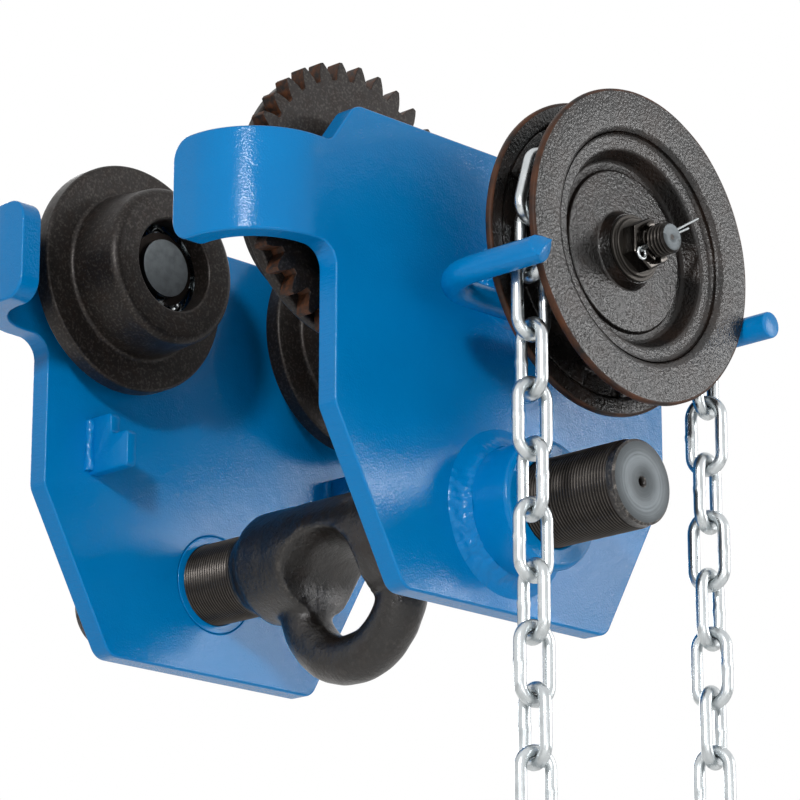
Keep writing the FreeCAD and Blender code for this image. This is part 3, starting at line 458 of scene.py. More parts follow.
def place_object(name, data):
    """New object in the scene."""
    holder = bpy.data.objects.new(name, data)
    bpy.context.scene.collection.objects.link(holder)
    return holder


def evaluated_mesh(holder):
    """Mesh of an object with its modifiers or its curve made solid."""
    return bpy.data.meshes.new_from_object(holder.evaluated_get(bpy.context.evaluated_depsgraph_get()))


def mesh_from(bm, name):
    """Mesh with the shape of a bmesh, which is freed."""
    mesh = bpy.data.meshes.new(name)
    bm.to_mesh(mesh)
    bm.free()
    return mesh


def add_part(bm, part):
    """Add a finished part to a shape."""
    mesh = mesh_from(part, "part")
    bm.from_mesh(mesh)
    bpy.data.meshes.remove(mesh)


def only(kind, items):
    """Those items that are of one kind."""
    return [item for item in items if isinstance(item, kind)]


def whole(bm):
    """All points, edges and faces of a shape."""
    return bm.verts[:] + bm.edges[:] + bm.faces[:]


def close_up(bm):
    """Merge doubled points and turn all faces outwards."""
    bmesh.ops.remove_doubles(bm, verts=bm.verts, dist=MERGE_GAP)
    bmesh.ops.recalc_face_normals(bm, faces=bm.faces)


def sharp_edges(edges, degrees):
    """Those edges at which the faces turn by more than the angle."""
    return [edge for edge in edges if edge.calc_face_angle(0) > math.radians(degrees)]


def bevel_edges(bm, edges, width, segments=2, **options):
    """Round edges off."""
    bmesh.ops.bevel(bm, geom=edges, offset=width, segments=segments, profile=0.5, affect="EDGES",
                    material=-1, **options)


def rounded(corners, step=math.radians(9)):
    """Points of a closed outline from (u, v, radius) corners, with arcs at the corners."""
    points = []
    for index, (u, v, radius) in enumerate(corners):
        corner = Vector((u, v))
        if radius == 0:
            points.append(corner)
            continue
        back = (Vector(corners[index - 1][:2]) - corner).normalized()
        ahead = (Vector(corners[(index + 1) % len(corners)][:2]) - corner).normalized()
        half = back.angle(ahead) / 2
        centre = corner + (back + ahead).normalized() * radius / math.sin(half)
        first = corner + back * radius / math.tan(half) - centre
        last = corner + ahead * radius / math.tan(half) - centre
        start = math.atan2(first.y, first.x)
        turn = (math.atan2(last.y, last.x) - start + math.pi) % FULL_TURN - math.pi
        count = max(2, math.ceil(abs(turn) / step))
        for place in range(count + 1):
            angle = start + turn * place / count
            points.append(centre + radius * Vector((math.cos(angle), math.sin(angle))))
    return points


def circle_points(u, v, radius, count=72):
    """Points of a round hole, in the opposite sense to an outline."""
    angles = [-FULL_TURN * index / count for index in range(count)]
    return [Vector((u + radius * math.cos(angle), v + radius * math.sin(angle))) for angle in angles]


def flat_plate(outline, holes, thickness, edge_round):
    """Plate in the XY plane with rounded edges, as a bmesh."""
    curve = bpy.data.curves.new("plate_outline", "CURVE")
    curve.dimensions = "2D"
    curve.fill_mode = "BOTH"
    curve.extrude = thickness / 2 - edge_round
    curve.bevel_depth = edge_round
    curve.bevel_resolution = 2
    curve.offset = -edge_round
    for points in [outline, *holes]:
        spline = curve.splines.new("POLY")
        spline.points.add(len(points) - 1)
        for point, place in zip(spline.points, points):
            point.co = (place.x, place.y, 0, 1)
        spline.use_cyclic_u = True
    holder = place_object("plate_outline", curve)
    mesh = evaluated_mesh(holder)
    bm = bmesh.new()
    bm.from_mesh(mesh)
    bpy.data.objects.remove(holder)
    bpy.data.curves.remove(curve)
    bpy.data.meshes.remove(mesh)
    bmesh.ops.remove_doubles(bm, verts=bm.verts, dist=mm(0.002))
    return bm


def lathe(bm, profile, x, z, steps=96, angle=FULL_TURN, closed=True):
    """Spin a (radius, y) profile about the line along Y through x and z."""
    verts = [bm.verts.new((x + radius, y, z)) for radius, y in profile]
    pairs = list(zip(verts, verts[1:]))
    if closed:
        pairs.append((verts[-1], verts[0]))
    edges = [bm.edges.new(pair) for pair in pairs]
    full = angle == FULL_TURN
    made = bmesh.ops.spin(bm, geom=verts + edges, cent=(x, 0, z), axis=(0, 1, 0), angle=angle,
                          steps=steps, use_merge=full)
    if not full:
        bmesh.ops.edgeloop_fill(bm, edges=edges)
        bmesh.ops.edgeloop_fill(bm, edges=only(BMEdge, made["geom_last"]))


def rod(bm, start, radius, moves, segments=24, capped=True):
    """Round rod from the start matrix along its Z: each move is a run (length) or a bend (radius, angle)."""
    made = bmesh.ops.create_circle(bm, radius=radius, segments=segments, matrix=start)
    first = list({edge for vert in made["verts"] for edge in vert.link_edges})
    edges = first
    place = start.copy()
    for move in moves:
        across, side, along = place.to_3x3().transposed()
        if len(move) == 1:
            made = bmesh.ops.extrude_edge_only(bm, edges=edges)["geom"]
            verts = only(BMVert, made)
            bmesh.ops.translate(bm, verts=verts, vec=along * move[0])
            edges = [edge for edge in only(BMEdge, made) if all(vert in verts for vert in edge.verts)]
            place = Matrix.Translation(along * move[0]) @ place
            continue
        bend, angle = move
        centre = place.translation + across * bend
        verts = list({vert for edge in edges for vert in edge.verts})
        made = bmesh.ops.spin(bm, geom=verts + edges, cent=centre, axis=side, angle=angle,
                              steps=max(3, math.ceil(abs(angle) / math.radians(11))))["geom_last"]
        edges = only(BMEdge, made)
        turn = Matrix.Rotation(angle, 4, side)
        place = Matrix.Translation(centre) @ turn @ Matrix.Translation(-centre) @ place
    if capped:
        bmesh.ops.edgeloop_fill(bm, edges=first)
        bmesh.ops.edgeloop_fill(bm, edges=edges)


def ring_piece(bm, inner, outer, start, end, span, steps, turn, edge_round):
    """Add a piece of a ring about the shaft, from start to end along Y, with rounded edges."""
    part = bmesh.new()
    lathe(part, [(inner, start), (outer, start), (outer, end), (inner, end)], 0, SHAFT_Z, steps, span)
    bmesh.ops.recalc_face_normals(part, faces=part.faces)
    bevel_edges(part, sharp_edges(part.edges, 40), edge_round)
    bmesh.ops.rotate(part, cent=(0, 0, SHAFT_Z), matrix=Matrix.Rotation(turn, 3, "Y"), verts=part.verts)
    add_part(bm, part)


def sink_groove(vert, axis_z, pitch, depth, radius):
    """Sink a point of a threaded rod's skin into the groove that winds round the rod."""
    across = Vector((vert.co.x, vert.co.z - axis_z))
    phase = abs(vert.co.y) / pitch + math.atan2(across.y, across.x) / FULL_TURN
    groove = 1 - abs(2 * (phase % 1) - 1)
    across *= 1 - groove * depth / radius
    vert.co.x = across.x
    vert.co.z = axis_z + across.y


def from_axis(point, axis_z):
    """Distance of a point from the line along Y at that height."""
    return math.hypot(point.x, point.z - axis_z)


def roughen(bm, amount, spot, verts=None):
    """Push points in and out along their normals by smooth noise."""
    bm.normal_update()
    for vert in verts or bm.verts:
        vert.co += vert.normal * amount * noise.noise(vert.co / spot)


def finish_piece(bm, name, body, slot, materials, replaced=(), sharp=35.0, even_normals=False,
                 mirrored=False):
    """Make the shape an object that rides on its body and stands for its CAD nodes."""
    if mirrored:
        bmesh.ops.scale(bm, vec=(1, -1, 1), verts=bm.verts)
    close_up(bm)
    mesh = mesh_from(bm, name)
    for material in materials:
        mesh.materials.append(material)
    mesh.shade_smooth()
    mesh.set_sharp_from_angle(angle=math.radians(sharp))
    piece = place_object(name, mesh)
    if even_normals:
        modifier = piece.modifiers.new("Even normals", "WEIGHTED_NORMAL")
        modifier.keep_sharp = True
    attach(piece, body)
    if replaced:
        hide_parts(*replaced)


def finish_painted(bm, name, body, node, **options):
    """Finish a piece in blue enamel that stands for one CAD node."""
    finish_piece(bm, name, body, "blue_enamel", [enamel()], [node], **options)


def finish_hub_piece(bm, name, slot, materials, replaced=(), **options):
    """Finish a piece that turns with the hand wheel."""
    finish_piece(bm, name, "hand_wheel", slot, materials, replaced, mirrored=True, **options)


def plate_outline():
    """Outline of a side plate with its horns laid flat, as X and Z."""
    sizes = plate_sizes()
    thickness = PLATE_OUTER - PLATE_INNER
    foot = PLATE_HIGH.x - sizes.horn_bend - thickness
    half_width = foot - sizes.horn_straight
    bend_length = (sizes.horn_bend + thickness / 2) * QUARTER_TURN
    tip = foot + bend_length + PLATE_INNER - sizes.horn_bend - PLATE_LOW.y
    low = BAR_Z + sizes.horn_low
    high = BAR_Z + sizes.horn_high
    right = [
        (sizes.bottom_half_width, PLATE_LOW.z, sizes.corner_round),
        (half_width, BAR_Z + sizes.waist_height, sizes.corner_round),
        (half_width, low, sizes.horn_round),
        (tip, low, sizes.horn_round),
        (tip, high, sizes.horn_round),
        (half_width + sizes.horn_shoulder, high, sizes.notch_round),
        (half_width - sizes.top_inset, PLATE_HIGH.z, sizes.corner_round),
    ]
    left = [(-u, v, radius) for u, v, radius in reversed(right)]
    return rounded(right + left), foot


def bend_horns(bm, foot):
    """Bend both horns a quarter turn towards the middle of the trolley."""
    sizes = plate_sizes()
    mean = sizes.horn_bend + (PLATE_OUTER - PLATE_INNER) / 2
    quarter = mean * QUARTER_TURN
    for side in (-1, 1):
        for cut in range(sizes.bend_cuts + 1):
            place = side * (foot + quarter * cut / sizes.bend_cuts)
            bmesh.ops.bisect_plane(bm, geom=whole(bm), plane_co=(place, 0, 0), plane_no=(1, 0, 0))
    for vert in bm.verts:
        reach = abs(vert.co.x) - foot
        if reach <= 0:
            continue
        angle = min(reach / mean, QUARTER_TURN)
        radius = sizes.horn_bend + vert.co.y - PLATE_INNER
        vert.co.x = math.copysign(foot + radius * math.sin(angle), vert.co.x)
        vert.co.y = PLATE_INNER - sizes.horn_bend + radius * math.cos(angle) - max(0, reach - quarter)


def side_plate(holes):
    """Bent side plate on the +Y side; its cut edges are the second finish."""
    outline, foot = plate_outline()
    bm = flat_plate(outline, holes, PLATE_OUTER - PLATE_INNER, plate_sizes().edge_round)
    for face in bm.faces:
        face.material_index = int(abs(face.normal.z) < 0.3)
    middle = (PLATE_INNER + PLATE_OUTER) / 2
    upright = Matrix(((1, 0, 0, 0), (0, 0, -1, middle), (0, 1, 0, 0), (0, 0, 0, 1)))
    bmesh.ops.transform(bm, matrix=upright, verts=bm.verts)
    bend_horns(bm, foot)
    return bm


class TROLLEY_OT_side_plates(bpy.types.Operator):
    """Make the two bent side plates with painted, rounded edges"""

    bl_idname = "trolley.side_plates"
    bl_label = "Side Plates"

    def execute(self, context):
        nut_hole = circle_points(0, BAR_Z, bar_sizes().spigot_radius + FIT_PLAY)
        housing_hole = circle_points(0, SHAFT_Z, HOUSING_HIGH.x)
        finish = [enamel(), finish_once(blue_enamel, "sprayed_cut_edge", True)]
        for side, holes in (("rear", [nut_hole]), ("drive", [nut_hole, housing_hole])):
            finish_piece(side_plate(holes), side + "_plate", side + "_side", "blue_enamel", finish,
                         [side + "_side_plate"], even_normals=True, mirrored=side == "drive")
        return {"FINISHED"}


def weld_ring(inner, width, height, z, ripples):
    """Fillet seam round a tube on the plate's outer face, with the ripples of a hand-laid bead."""
    bm = bmesh.new()
    base = PLATE_OUTER - mm(0.5)
    buried = inner - mm(0.6)
    lumpy_side = math.radians(205)
    ripple_height = mm(0.06)
    wave_height = mm(0.8)
    lump_height = mm(2.4)
    lathe(bm, rounded([
        (buried, base, 0),
        (inner + width, base, 0),
        (inner + width, PLATE_OUTER, 0),
        (inner + width * 0.3, PLATE_OUTER + height * 0.3, width),
        (inner + mm(0.1), PLATE_OUTER + height, 0),
        (buried, PLATE_OUTER + height, 0),
    ]), 0, z, steps=288)
    close_up(bm)
    bm.normal_update()
    for vert in bm.verts:
        if vert.co.y <= PLATE_OUTER or from_axis(vert.co, z) <= inner:
            continue
        around = math.atan2(vert.co.z - z, vert.co.x)
        bead = math.sin(around * ripples + 2 * noise.noise(vert.co / mm(9)))
        flow = min(1.0, (vert.co.y - PLATE_OUTER) / (height * 0.5))
        lumps = max(0.0, math.cos(around - lumpy_side)) ** 4 * max(0.0, noise.noise(vert.co / mm(2.6)))
        wave = noise.noise(vert.co / mm(6))
        vert.co += vert.normal * flow * (ripple_height * bead + wave_height * wave)
        vert.co += vert.normal * lumps * lump_height
    return bm


def round_nut():
    """Round nut standing out of the plate's outer face, its paint rounding the edges."""
    sizes = bar_sizes()
    bm = bmesh.new()
    bore = sizes.radius + FIT_PLAY
    shoulder = PLATE_OUTER + FIT_PLAY
    lathe(bm, rounded([
        (bore, NUT_LOW.y, mm(0.4)),
        (sizes.spigot_radius, NUT_LOW.y, mm(0.4)),
        (sizes.spigot_radius, shoulder, 0),
        (NUT_HIGH.x, shoulder, 0),
        (NUT_HIGH.x, NUT_HIGH.y, sizes.nut_round),
        (bore, NUT_HIGH.y, mm(1.2)),
    ]), 0, BAR_Z)
    return bm


class TROLLEY_OT_round_nuts(bpy.types.Operator):
    """Make the round nuts in the plates and the weld seams round them"""

    bl_idname = "trolley.round_nuts"
    bl_label = "Round Nuts"

    def execute(self, context):
        sizes = bar_sizes()
        for side, nut_body in (("rear", "rear_side"), ("drive", "bar_nut")):
            mirrored = side == "drive"
            finish_painted(round_nut(), side + "_nut", nut_body, side + "_round_nut", mirrored=mirrored)
            seam = weld_ring(NUT_HIGH.x, sizes.weld_width, sizes.weld_height, BAR_Z, 58)
            finish_painted(seam, side + "_nut_seam", side + "_side", side + "_nut_weld", sharp=70.0,
                           mirrored=mirrored)
        return {"FINISHED"}


def cut_ends(bm, half_length):
    """Cut the bar's middle off flat at both ends."""
    for side in (-1, 1):
        made = bmesh.ops.bisect_plane(bm, geom=whole(bm), plane_co=(0, BAR_MIDDLE + side * half_length, 0),
                                      plane_no=(0, side, 0), clear_outer=True)["geom_cut"]
        bmesh.ops.contextual_create(bm, geom=only(BMEdge, made))


def forged_eye(bm):
    """Add the bar's middle with its eye: the CAD form remeshed and smoothed as a forging is."""
    sizes = bar_sizes()
    middle = bmesh.new()
    middle.from_mesh(frame["nodes"]["load_bar"].data)
    bmesh.ops.remove_doubles(middle, verts=middle.verts, dist=mm(0.004))
    cut_ends(middle, sizes.eye_half_length + mm(4))
    mesh = mesh_from(middle, "eye_blank")
    blank = place_object("eye_blank", mesh)
    remesh = blank.modifiers.new("Forging", "REMESH")
    remesh.mode = "VOXEL"
    remesh.voxel_size = sizes.eye_voxel
    smooth = blank.modifiers.new("Blend", "SMOOTH")
    smooth.factor = 0.5
    smooth.iterations = sizes.eye_smoothing
    forged = evaluated_mesh(blank)
    part = bmesh.new()
    part.from_mesh(forged)
    cut_ends(part, sizes.eye_half_length)
    roughen(part, mm(0.35), mm(8))
    add_part(bm, part)
    bpy.data.objects.remove(blank)
    bpy.data.meshes.remove(mesh)
    bpy.data.meshes.remove(forged)


def threaded_arm(bm, side):
    """Add one threaded arm; the two arms have opposite hands, so turning the bar moves both plates."""
    sizes = bar_sizes()
    start = sizes.eye_half_length - mm(1.5)
    end = BAR_HIGH.y - BAR_MIDDLE
    thread_end = end - sizes.end_band
    run_in = mm(4)
    rings_per_pitch = 7
    count = int((thread_end - start) / sizes.thread_pitch * rings_per_pitch)
    band = sizes.radius - sizes.thread_depth
    profile = [(0, start)]
    profile += [(sizes.radius, start + (thread_end - start) * index / count) for index in range(count + 1)]
    profile += [(band, thread_end + mm(0.6)), (band, end - mm(0.8)), (sizes.end_face, end)]
    profile += [(mm(2.4), end), (mm(1.6), end - mm(0.9)), (mm(1.5), end - mm(4.0)), (0, end - mm(5.0))]
    first_face = len(bm.faces)
    lathe(bm, [(radius, side * y) for radius, y in profile], 0, BAR_Z, steps=72, closed=False)
    bm.faces.ensure_lookup_table()
    faces = bm.faces[first_face:]
    verts = {vert for face in faces for vert in face.verts}
    for vert in verts:
        along = abs(vert.co.y)
        if abs(from_axis(vert.co, BAR_Z) - sizes.radius) <= ON_SURFACE and along <= thread_end + ON_SURFACE:
            fade = min(1.0, (along - start) / run_in)
            sink_groove(vert, BAR_Z, sizes.thread_pitch, fade * sizes.thread_depth, sizes.radius)
    for face in faces:
        centre = face.calc_center_median()
        far = abs(centre.y)
        if far < thread_end:
            face.material_index = 1
        elif far > end - mm(0.3) and from_axis(centre, BAR_Z) < sizes.end_face:
            face.material_index = 2
        else:
            face.material_index = 0
    bmesh.ops.translate(bm, verts=list(verts), vec=(0, BAR_MIDDLE, 0))


class TROLLEY_OT_load_bar(bpy.types.Operator):
    """Make the forged load bar with its eye, its two threads and its turned ends"""

    bl_idname = "trolley.load_bar"
    bl_label = "Load Bar"

    def execute(self, context):
        sizes = bar_sizes()
        bm = bmesh.new()
        forged_eye(bm)
        for side in (-1, 1):
            threaded_arm(bm, side)
        finish = [
            finish_once(forging_scale, "forging_scale"),
            finish_once(cut_thread, "bar_thread", BAR_Z, sizes.radius - sizes.thread_depth, sizes.radius),
            finish_once(turned_face, "turned_bar_end", BAR_Z, finishes().turned_steel),
        ]
        finish_piece(bm, "forged_load_bar", "load_bar", "black_forging", finish, ["load_bar"], sharp=50.0)
        return {"FINISHED"}


def wheel_body(x, flange_radius, flange_thickness):
    """Turned body of a trolley wheel: tread, flange and bearing seat."""
    sizes = wheel_sizes()
    flange = WHEEL_END + sizes.tread_width
    flange_back = flange + flange_thickness
    seat_back = flange - mm(0.4)
    seat_front = seat_back - mm(15)
    clip_back = seat_back + mm(1.6)
    clip_radius = sizes.seat_radius + mm(1)
    bm = bmesh.new()
    lathe(bm, rounded([
        (sizes.lip_radius, WHEEL_END, mm(1.2)),
        (AXLE_Z - sizes.tread_taper, WHEEL_END, mm(4)),
        (AXLE_Z, flange, mm(2)),
        (flange_radius, flange, mm(1.5)),
        (flange_radius, flange_back, mm(1.5)),
        (AXLE_Z, flange_back, mm(1)),
        (AXLE_Z, GEAR_BACK, mm(1)),
        (sizes.seat_radius, GEAR_BACK, mm(1)),
        (sizes.seat_radius, clip_back, 0),
        (clip_radius, clip_back, 0),
        (clip_radius, seat_back, 0),
        (sizes.seat_radius, seat_back, 0),
        (sizes.seat_radius, seat_front, 0),
        (sizes.lip_radius, seat_front, 0),
    ]), x, AXLE_Z, steps=128)
    return bm


def tooth_points():
    """One tooth of the geared wheel from root to next root, as (radius, angle) from its middle."""
    sizes = wheel_sizes()
    shift = -0.1
    teeth = sizes.gear_teeth
    pitch_radius = sizes.tooth_module * teeth / 2
    base_radius = pitch_radius * math.cos(sizes.pressure_angle)
    tip = sizes.tooth_module * (teeth / 2 + 1 + shift)
    root = sizes.tooth_module * (teeth / 2 - 1.25 + shift)
    slope = math.tan(sizes.pressure_angle)
    thickness = sizes.tooth_module * (math.pi / 2 + 2 * shift * slope) - mm(0.15)
    half_at_pitch = thickness / (2 * pitch_radius) + slope - sizes.pressure_angle

    def half_angle(radius):
        local = math.acos(min(1.0, base_radius / radius))
        return half_at_pitch - math.tan(local) + local

    foot = max(root, base_radius)
    flank = [(root, half_angle(foot))]
    for share in (0.0, 0.35, 0.7, 1.0):
        radius = foot + (tip - foot) * share
        flank.append((radius, half_angle(radius)))
    points = [(radius, -angle) for radius, angle in flank]
    points += reversed(flank)
    points.append((root, FULL_TURN / teeth - flank[0][1]))
    return points


def gear_ring(bm, x, turn):
    """Add the cut teeth on the plate side of the wheel, one tooth pointing at turn."""
    sizes = wheel_sizes()
    start = WHEEL_END + sizes.tread_width + sizes.flange_thickness
    first_face = len(bm.faces)
    verts = []
    for radius, angle in tooth_points():
        verts.append(bm.verts.new((x + radius * math.cos(turn + angle), start,
                                   AXLE_Z + radius * math.sin(turn + angle))))
    edges = [bm.edges.new(pair) for pair in zip(verts, verts[1:])]
    bmesh.ops.spin(bm, geom=verts + edges, cent=(x, 0, AXLE_Z), axis=(0, 1, 0), angle=FULL_TURN,
                   steps=sizes.gear_teeth, use_duplicate=True)
    upright = Matrix.Translation((x, start, AXLE_Z)) @ Matrix.Rotation(QUARTER_TURN, 4, "X")
    bmesh.ops.create_circle(bm, radius=AXLE_Z - mm(1), segments=66, matrix=upright)
    loose = [vert for vert in bm.verts if not vert.link_faces]
    bmesh.ops.remove_doubles(bm, verts=loose, dist=ON_SURFACE)
    loose = [edge for edge in bm.edges if not edge.link_faces]
    bmesh.ops.triangle_fill(bm, edges=loose, use_beauty=True)
    bm.faces.ensure_lookup_table()
    made = bmesh.ops.extrude_face_region(bm, geom=bm.faces[first_face:], use_keep_orig=True)["geom"]
    bmesh.ops.translate(bm, verts=only(BMVert, made), vec=(0, GEAR_BACK - start, 0))
    bm.faces.ensure_lookup_table()
    faces = bm.faces[first_face:]
    bmesh.ops.recalc_face_normals(bm, faces=faces)
    sharp = sharp_edges({edge for face in faces for edge in face.edges}, 40)
    toothed = [edge for edge in sharp
               if math.hypot(edge.verts[0].co.x - x, edge.verts[0].co.z - AXLE_Z) > AXLE_Z]
    bevel_edges(bm, toothed, sizes.tooth_edge, clamp_overlap=True)
    bm.faces.ensure_lookup_table()
    for face in bm.faces[first_face:]:
        if abs(face.normal.y) < WALL_NORMAL:
            face.material_index = 1


def mesh_turns():
    """Tooth directions of the left and right geared wheels that mesh with the pinion."""
    sizes = wheel_sizes()
    towards_left = math.pi - math.atan2(AXLE_Z - SHAFT_Z, AXLE_X)
    towards_right = math.pi - towards_left
    pinion_step = FULL_TURN / sizes.pinion_teeth
    gap = (towards_left + pinion_step - towards_right) % pinion_step
    right = towards_right + math.pi - gap * sizes.pinion_teeth / sizes.gear_teeth
    return towards_left - math.pi, right


class TROLLEY_OT_trolley_wheels(bpy.types.Operator):
    """Make the two geared wheels and the two plain wheels"""

    bl_idname = "trolley.trolley_wheels"
    bl_label = "Trolley Wheels"

    def execute(self, context):
        sizes = wheel_sizes()
        tooth_rust = finish_once(rusty_iron, "rusty_teeth", finishes().forging, mm(2.8))
        for label, x, turn in zip(("left", "right"), (-AXLE_X, AXLE_X), mesh_turns()):
            side_steel = finish_once(oiled_steel, "oiled_steel_" + label, x, AXLE_Z)
            geared = wheel_body(x, sizes.flange_radius, sizes.flange_thickness)
            gear_ring(geared, x, turn)
            finish_piece(geared, f"drive_{label}_gear", f"drive_{label}_wheel", "oiled_gear_steel",
                         [side_steel, tooth_rust], [f"drive_{label}_geared_wheel"], even_normals=True,
                         mirrored=True)
            plain = wheel_body(x, sizes.plain_radius, sizes.plain_thickness)
            finish_piece(plain, f"rear_{label}_runner", f"rear_{label}_wheel", "cast_wheel",
                         [side_steel], [f"rear_{label}_wheel"])
        return {"FINISHED"}


def chain_wheel_blank(bm):
    """Add the turned body of the chain wheel: two dished flanges, the chain slot and the hub."""
    sizes = drive_sizes()
    rim = CHAIN_WHEEL_HIGH.x
    hub_back = -CHAIN_WHEEL_HIGH.y
    front = -CHAIN_WHEEL_LOW.y
    back = hub_back + mm(2)
    slot_back = back + sizes.rim_thickness
    middle = (back + front) / 2
    groove_side = middle - mm(2.85)
    groove_floor = sizes.slot_floor - mm(6.5)
    seat = -WASHER_HIGH.y
    hub_face = front - sizes.hub_depth
    ledge = front - mm(4)
    dish_floor = hub_face - mm(1.5)
    bore = mm(8.02)
    rear_dish = [
        (bore, hub_back, 0),
        (sizes.dish_inner, hub_back, mm(1.6)),
        (sizes.dish_inner, back + mm(7), mm(2.5)),
        (sizes.dish_ledge, back + mm(7), mm(1.2)),
        (sizes.dish_ledge, back + mm(4), mm(1.2)),
        (sizes.dish_outer, back + mm(4), mm(1.5)),
        (sizes.dish_outer, back, mm(3)),
    ]
    rear_slot = [
        (rim, back, mm(1.2)),
        (rim, slot_back, mm(1.2)),
        (sizes.slot_floor + mm(9), slot_back - mm(0.2), mm(2)),
        (sizes.slot_floor + mm(8.6), slot_back - mm(1.5), mm(0.8)),
        (sizes.slot_floor, slot_back - mm(1.5), mm(1)),
        (sizes.slot_floor, groove_side, mm(0.8)),
        (groove_floor, groove_side, mm(1.2)),
    ]
    front_slot = [(radius, 2 * middle - y, bend) for radius, y, bend in reversed(rear_slot)]
    front_dish = [
        (sizes.dish_outer, front, mm(3.6)),
        (sizes.dish_outer, ledge, mm(2.2)),
        (sizes.dish_ledge, ledge, mm(2.6)),
        (sizes.dish_ledge - mm(3), dish_floor, mm(2.2)),
        (sizes.dish_inner + mm(0.8), dish_floor, mm(0.5)),
        (sizes.dish_inner, hub_face, mm(0.7)),
        (WASHER_HIGH.x + mm(2.4), hub_face, mm(1.2)),
        (WASHER_HIGH.x + mm(0.5), seat, 0),
        (bore, seat, 0),
    ]
    profile = rounded(rear_dish + rear_slot + front_slot + front_dish, step=math.radians(15))
    lathe(bm, profile, 0, SHAFT_Z, steps=160)
    return slot_back, front - sizes.rim_thickness


def pocket_ribs(bm, slot_back, slot_front):
    """Add the cast ribs between the chain pockets on the inner walls of both flanges."""
    sizes = drive_sizes()
    step = FULL_TURN / sizes.pocket_count
    span = step * 0.55
    sunk = mm(1.8)
    for index in range(sizes.pocket_count):
        turn = step * (index + 0.5) - span / 2 + QUARTER_TURN
        for wall, inner in ((slot_back - sunk, slot_back), (slot_front + sunk, slot_front)):
            ring_piece(bm, sizes.slot_floor - mm(0.5), sizes.slot_floor + mm(8.8), wall, inner, span, 12,
                       turn, mm(0.7))


class TROLLEY_OT_chain_wheel(bpy.types.Operator):
    """Make the cast hand chain wheel with its pockets and rusty rims"""

    bl_idname = "trolley.chain_wheel"
    bl_label = "Hand Chain Wheel"

    def execute(self, context):
        sizes = drive_sizes()
        hub = mm(22)
        rim = CHAIN_WHEEL_HIGH.x - mm(1.3)
        bm = bmesh.new()
        slot_back, slot_front = chain_wheel_blank(bm)
        close_up(bm)
        roughen(bm, mm(0.12), mm(11), [vert for vert in bm.verts if from_axis(vert.co, SHAFT_Z) > hub])
        for face in bm.faces:
            radius = from_axis(face.calc_center_median(), SHAFT_Z)
            if radius > rim:
                face.material_index = 1
            # Steep walls and the dish's valley take the third finish: thicker paint with shallower grain, and less
            # sheen that paints shade into these hollows.
            elif abs(face.normal.y) < WALL_NORMAL or sizes.dish_inner < radius < sizes.dish_ledge:
                face.material_index = 2
        pocket_ribs(bm, slot_back, slot_front)
        finish = [
            finish_once(black_casting, "black_casting", mm(0.55), 0.55),
            finish_once(rusty_iron, "rusty_rim", finishes().casting, mm(15)),
            # Less sheen here darkens the dish and the walls as painted shade.
            finish_once(black_casting, "thick_casting_paint", mm(0.3), 0.22),
        ]
        finish_hub_piece(bm, "cast_chain_wheel", "black_cast_iron", finish, ["hand_chain_wheel"])
        return {"FINISHED"}


def hub_washer(seat, top):
    """Washer with a raised ring under the nut."""
    bore = drive_sizes().stud_radius + FIT_PLAY
    step = seat + mm(1.6)
    ring = mm(12.2)
    bm = bmesh.new()
    lathe(bm, rounded([
        (bore, seat, 0),
        (WASHER_HIGH.x, seat, mm(0.3)),
        (WASHER_HIGH.x, step, mm(0.5)),
        (ring, step, mm(0.2)),
        (ring, top, mm(0.5)),
        (bore, top, 0),
    ]), 0, SHAFT_Z)
    return bm


def castle_nut(base):
    """Hexagon and six merlons of the castle nut."""
    sizes = drive_sizes()
    bm = bmesh.new()
    stand = Matrix.Translation((0, base, SHAFT_Z)) @ Matrix.Rotation(-QUARTER_TURN, 4, "X")
    made = bmesh.ops.create_circle(bm, cap_ends=True, segments=6, matrix=stand,
                                   radius=sizes.nut_flats / math.sqrt(3))
    face = made["verts"][0].link_faces[0]
    made = bmesh.ops.extrude_face_region(bm, geom=[face], use_keep_orig=True)["geom"]
    verts = only(BMVert, made)
    bmesh.ops.translate(bm, verts=verts, vec=(0, sizes.nut_height, 0))
    rim = [edge for edge in bm.edges if all(vert in verts for vert in edge.verts)]
    bmesh.ops.recalc_face_normals(bm, faces=bm.faces)
    bevel_edges(bm, rim, mm(0.9), segments=3)
    corners = [edge for edge in bm.edges if abs(edge.verts[0].co.y - edge.verts[1].co.y) > mm(4)]
    bevel_edges(bm, corners, mm(0.4))
    crown = base + sizes.nut_height
    span = math.radians(37)
    for index in range(6):
        ring_piece(bm, sizes.stud_radius + mm(0.1), sizes.crown_radius, crown - mm(0.5),
                   crown + sizes.crown_height, span, 8, math.radians(60 * index) - span / 2, mm(0.35))
    return bm


def stud_sleeve(start):
    """Thread of the shaft's end, standing proud of the nut."""
    pitch = mm(1.75)
    rings_per_pitch = 8
    end = STUD_END
    count = int((end - start) / pitch * rings_per_pitch)
    radius = drive_sizes().stud_radius + mm(0.5)
    profile = [(radius - mm(1), start)]
    profile += [(radius, start + (end - mm(1) - start) * index / count) for index in range(count + 1)]
    profile += [(radius - mm(1.1), end + mm(0.02)), (mm(1.2), end + mm(0.02)), (0, end - mm(0.6))]
    bm = bmesh.new()
    lathe(bm, profile, 0, SHAFT_Z, steps=48, closed=False)
    for vert in bm.verts:
        if abs(from_axis(vert.co, SHAFT_Z) - radius) <= ON_SURFACE:
            sink_groove(vert, SHAFT_Z, pitch, mm(0.48), radius)
    for face in bm.faces:
        face.material_index = int(face.calc_center_median().y > end - mm(0.4))
    return bm


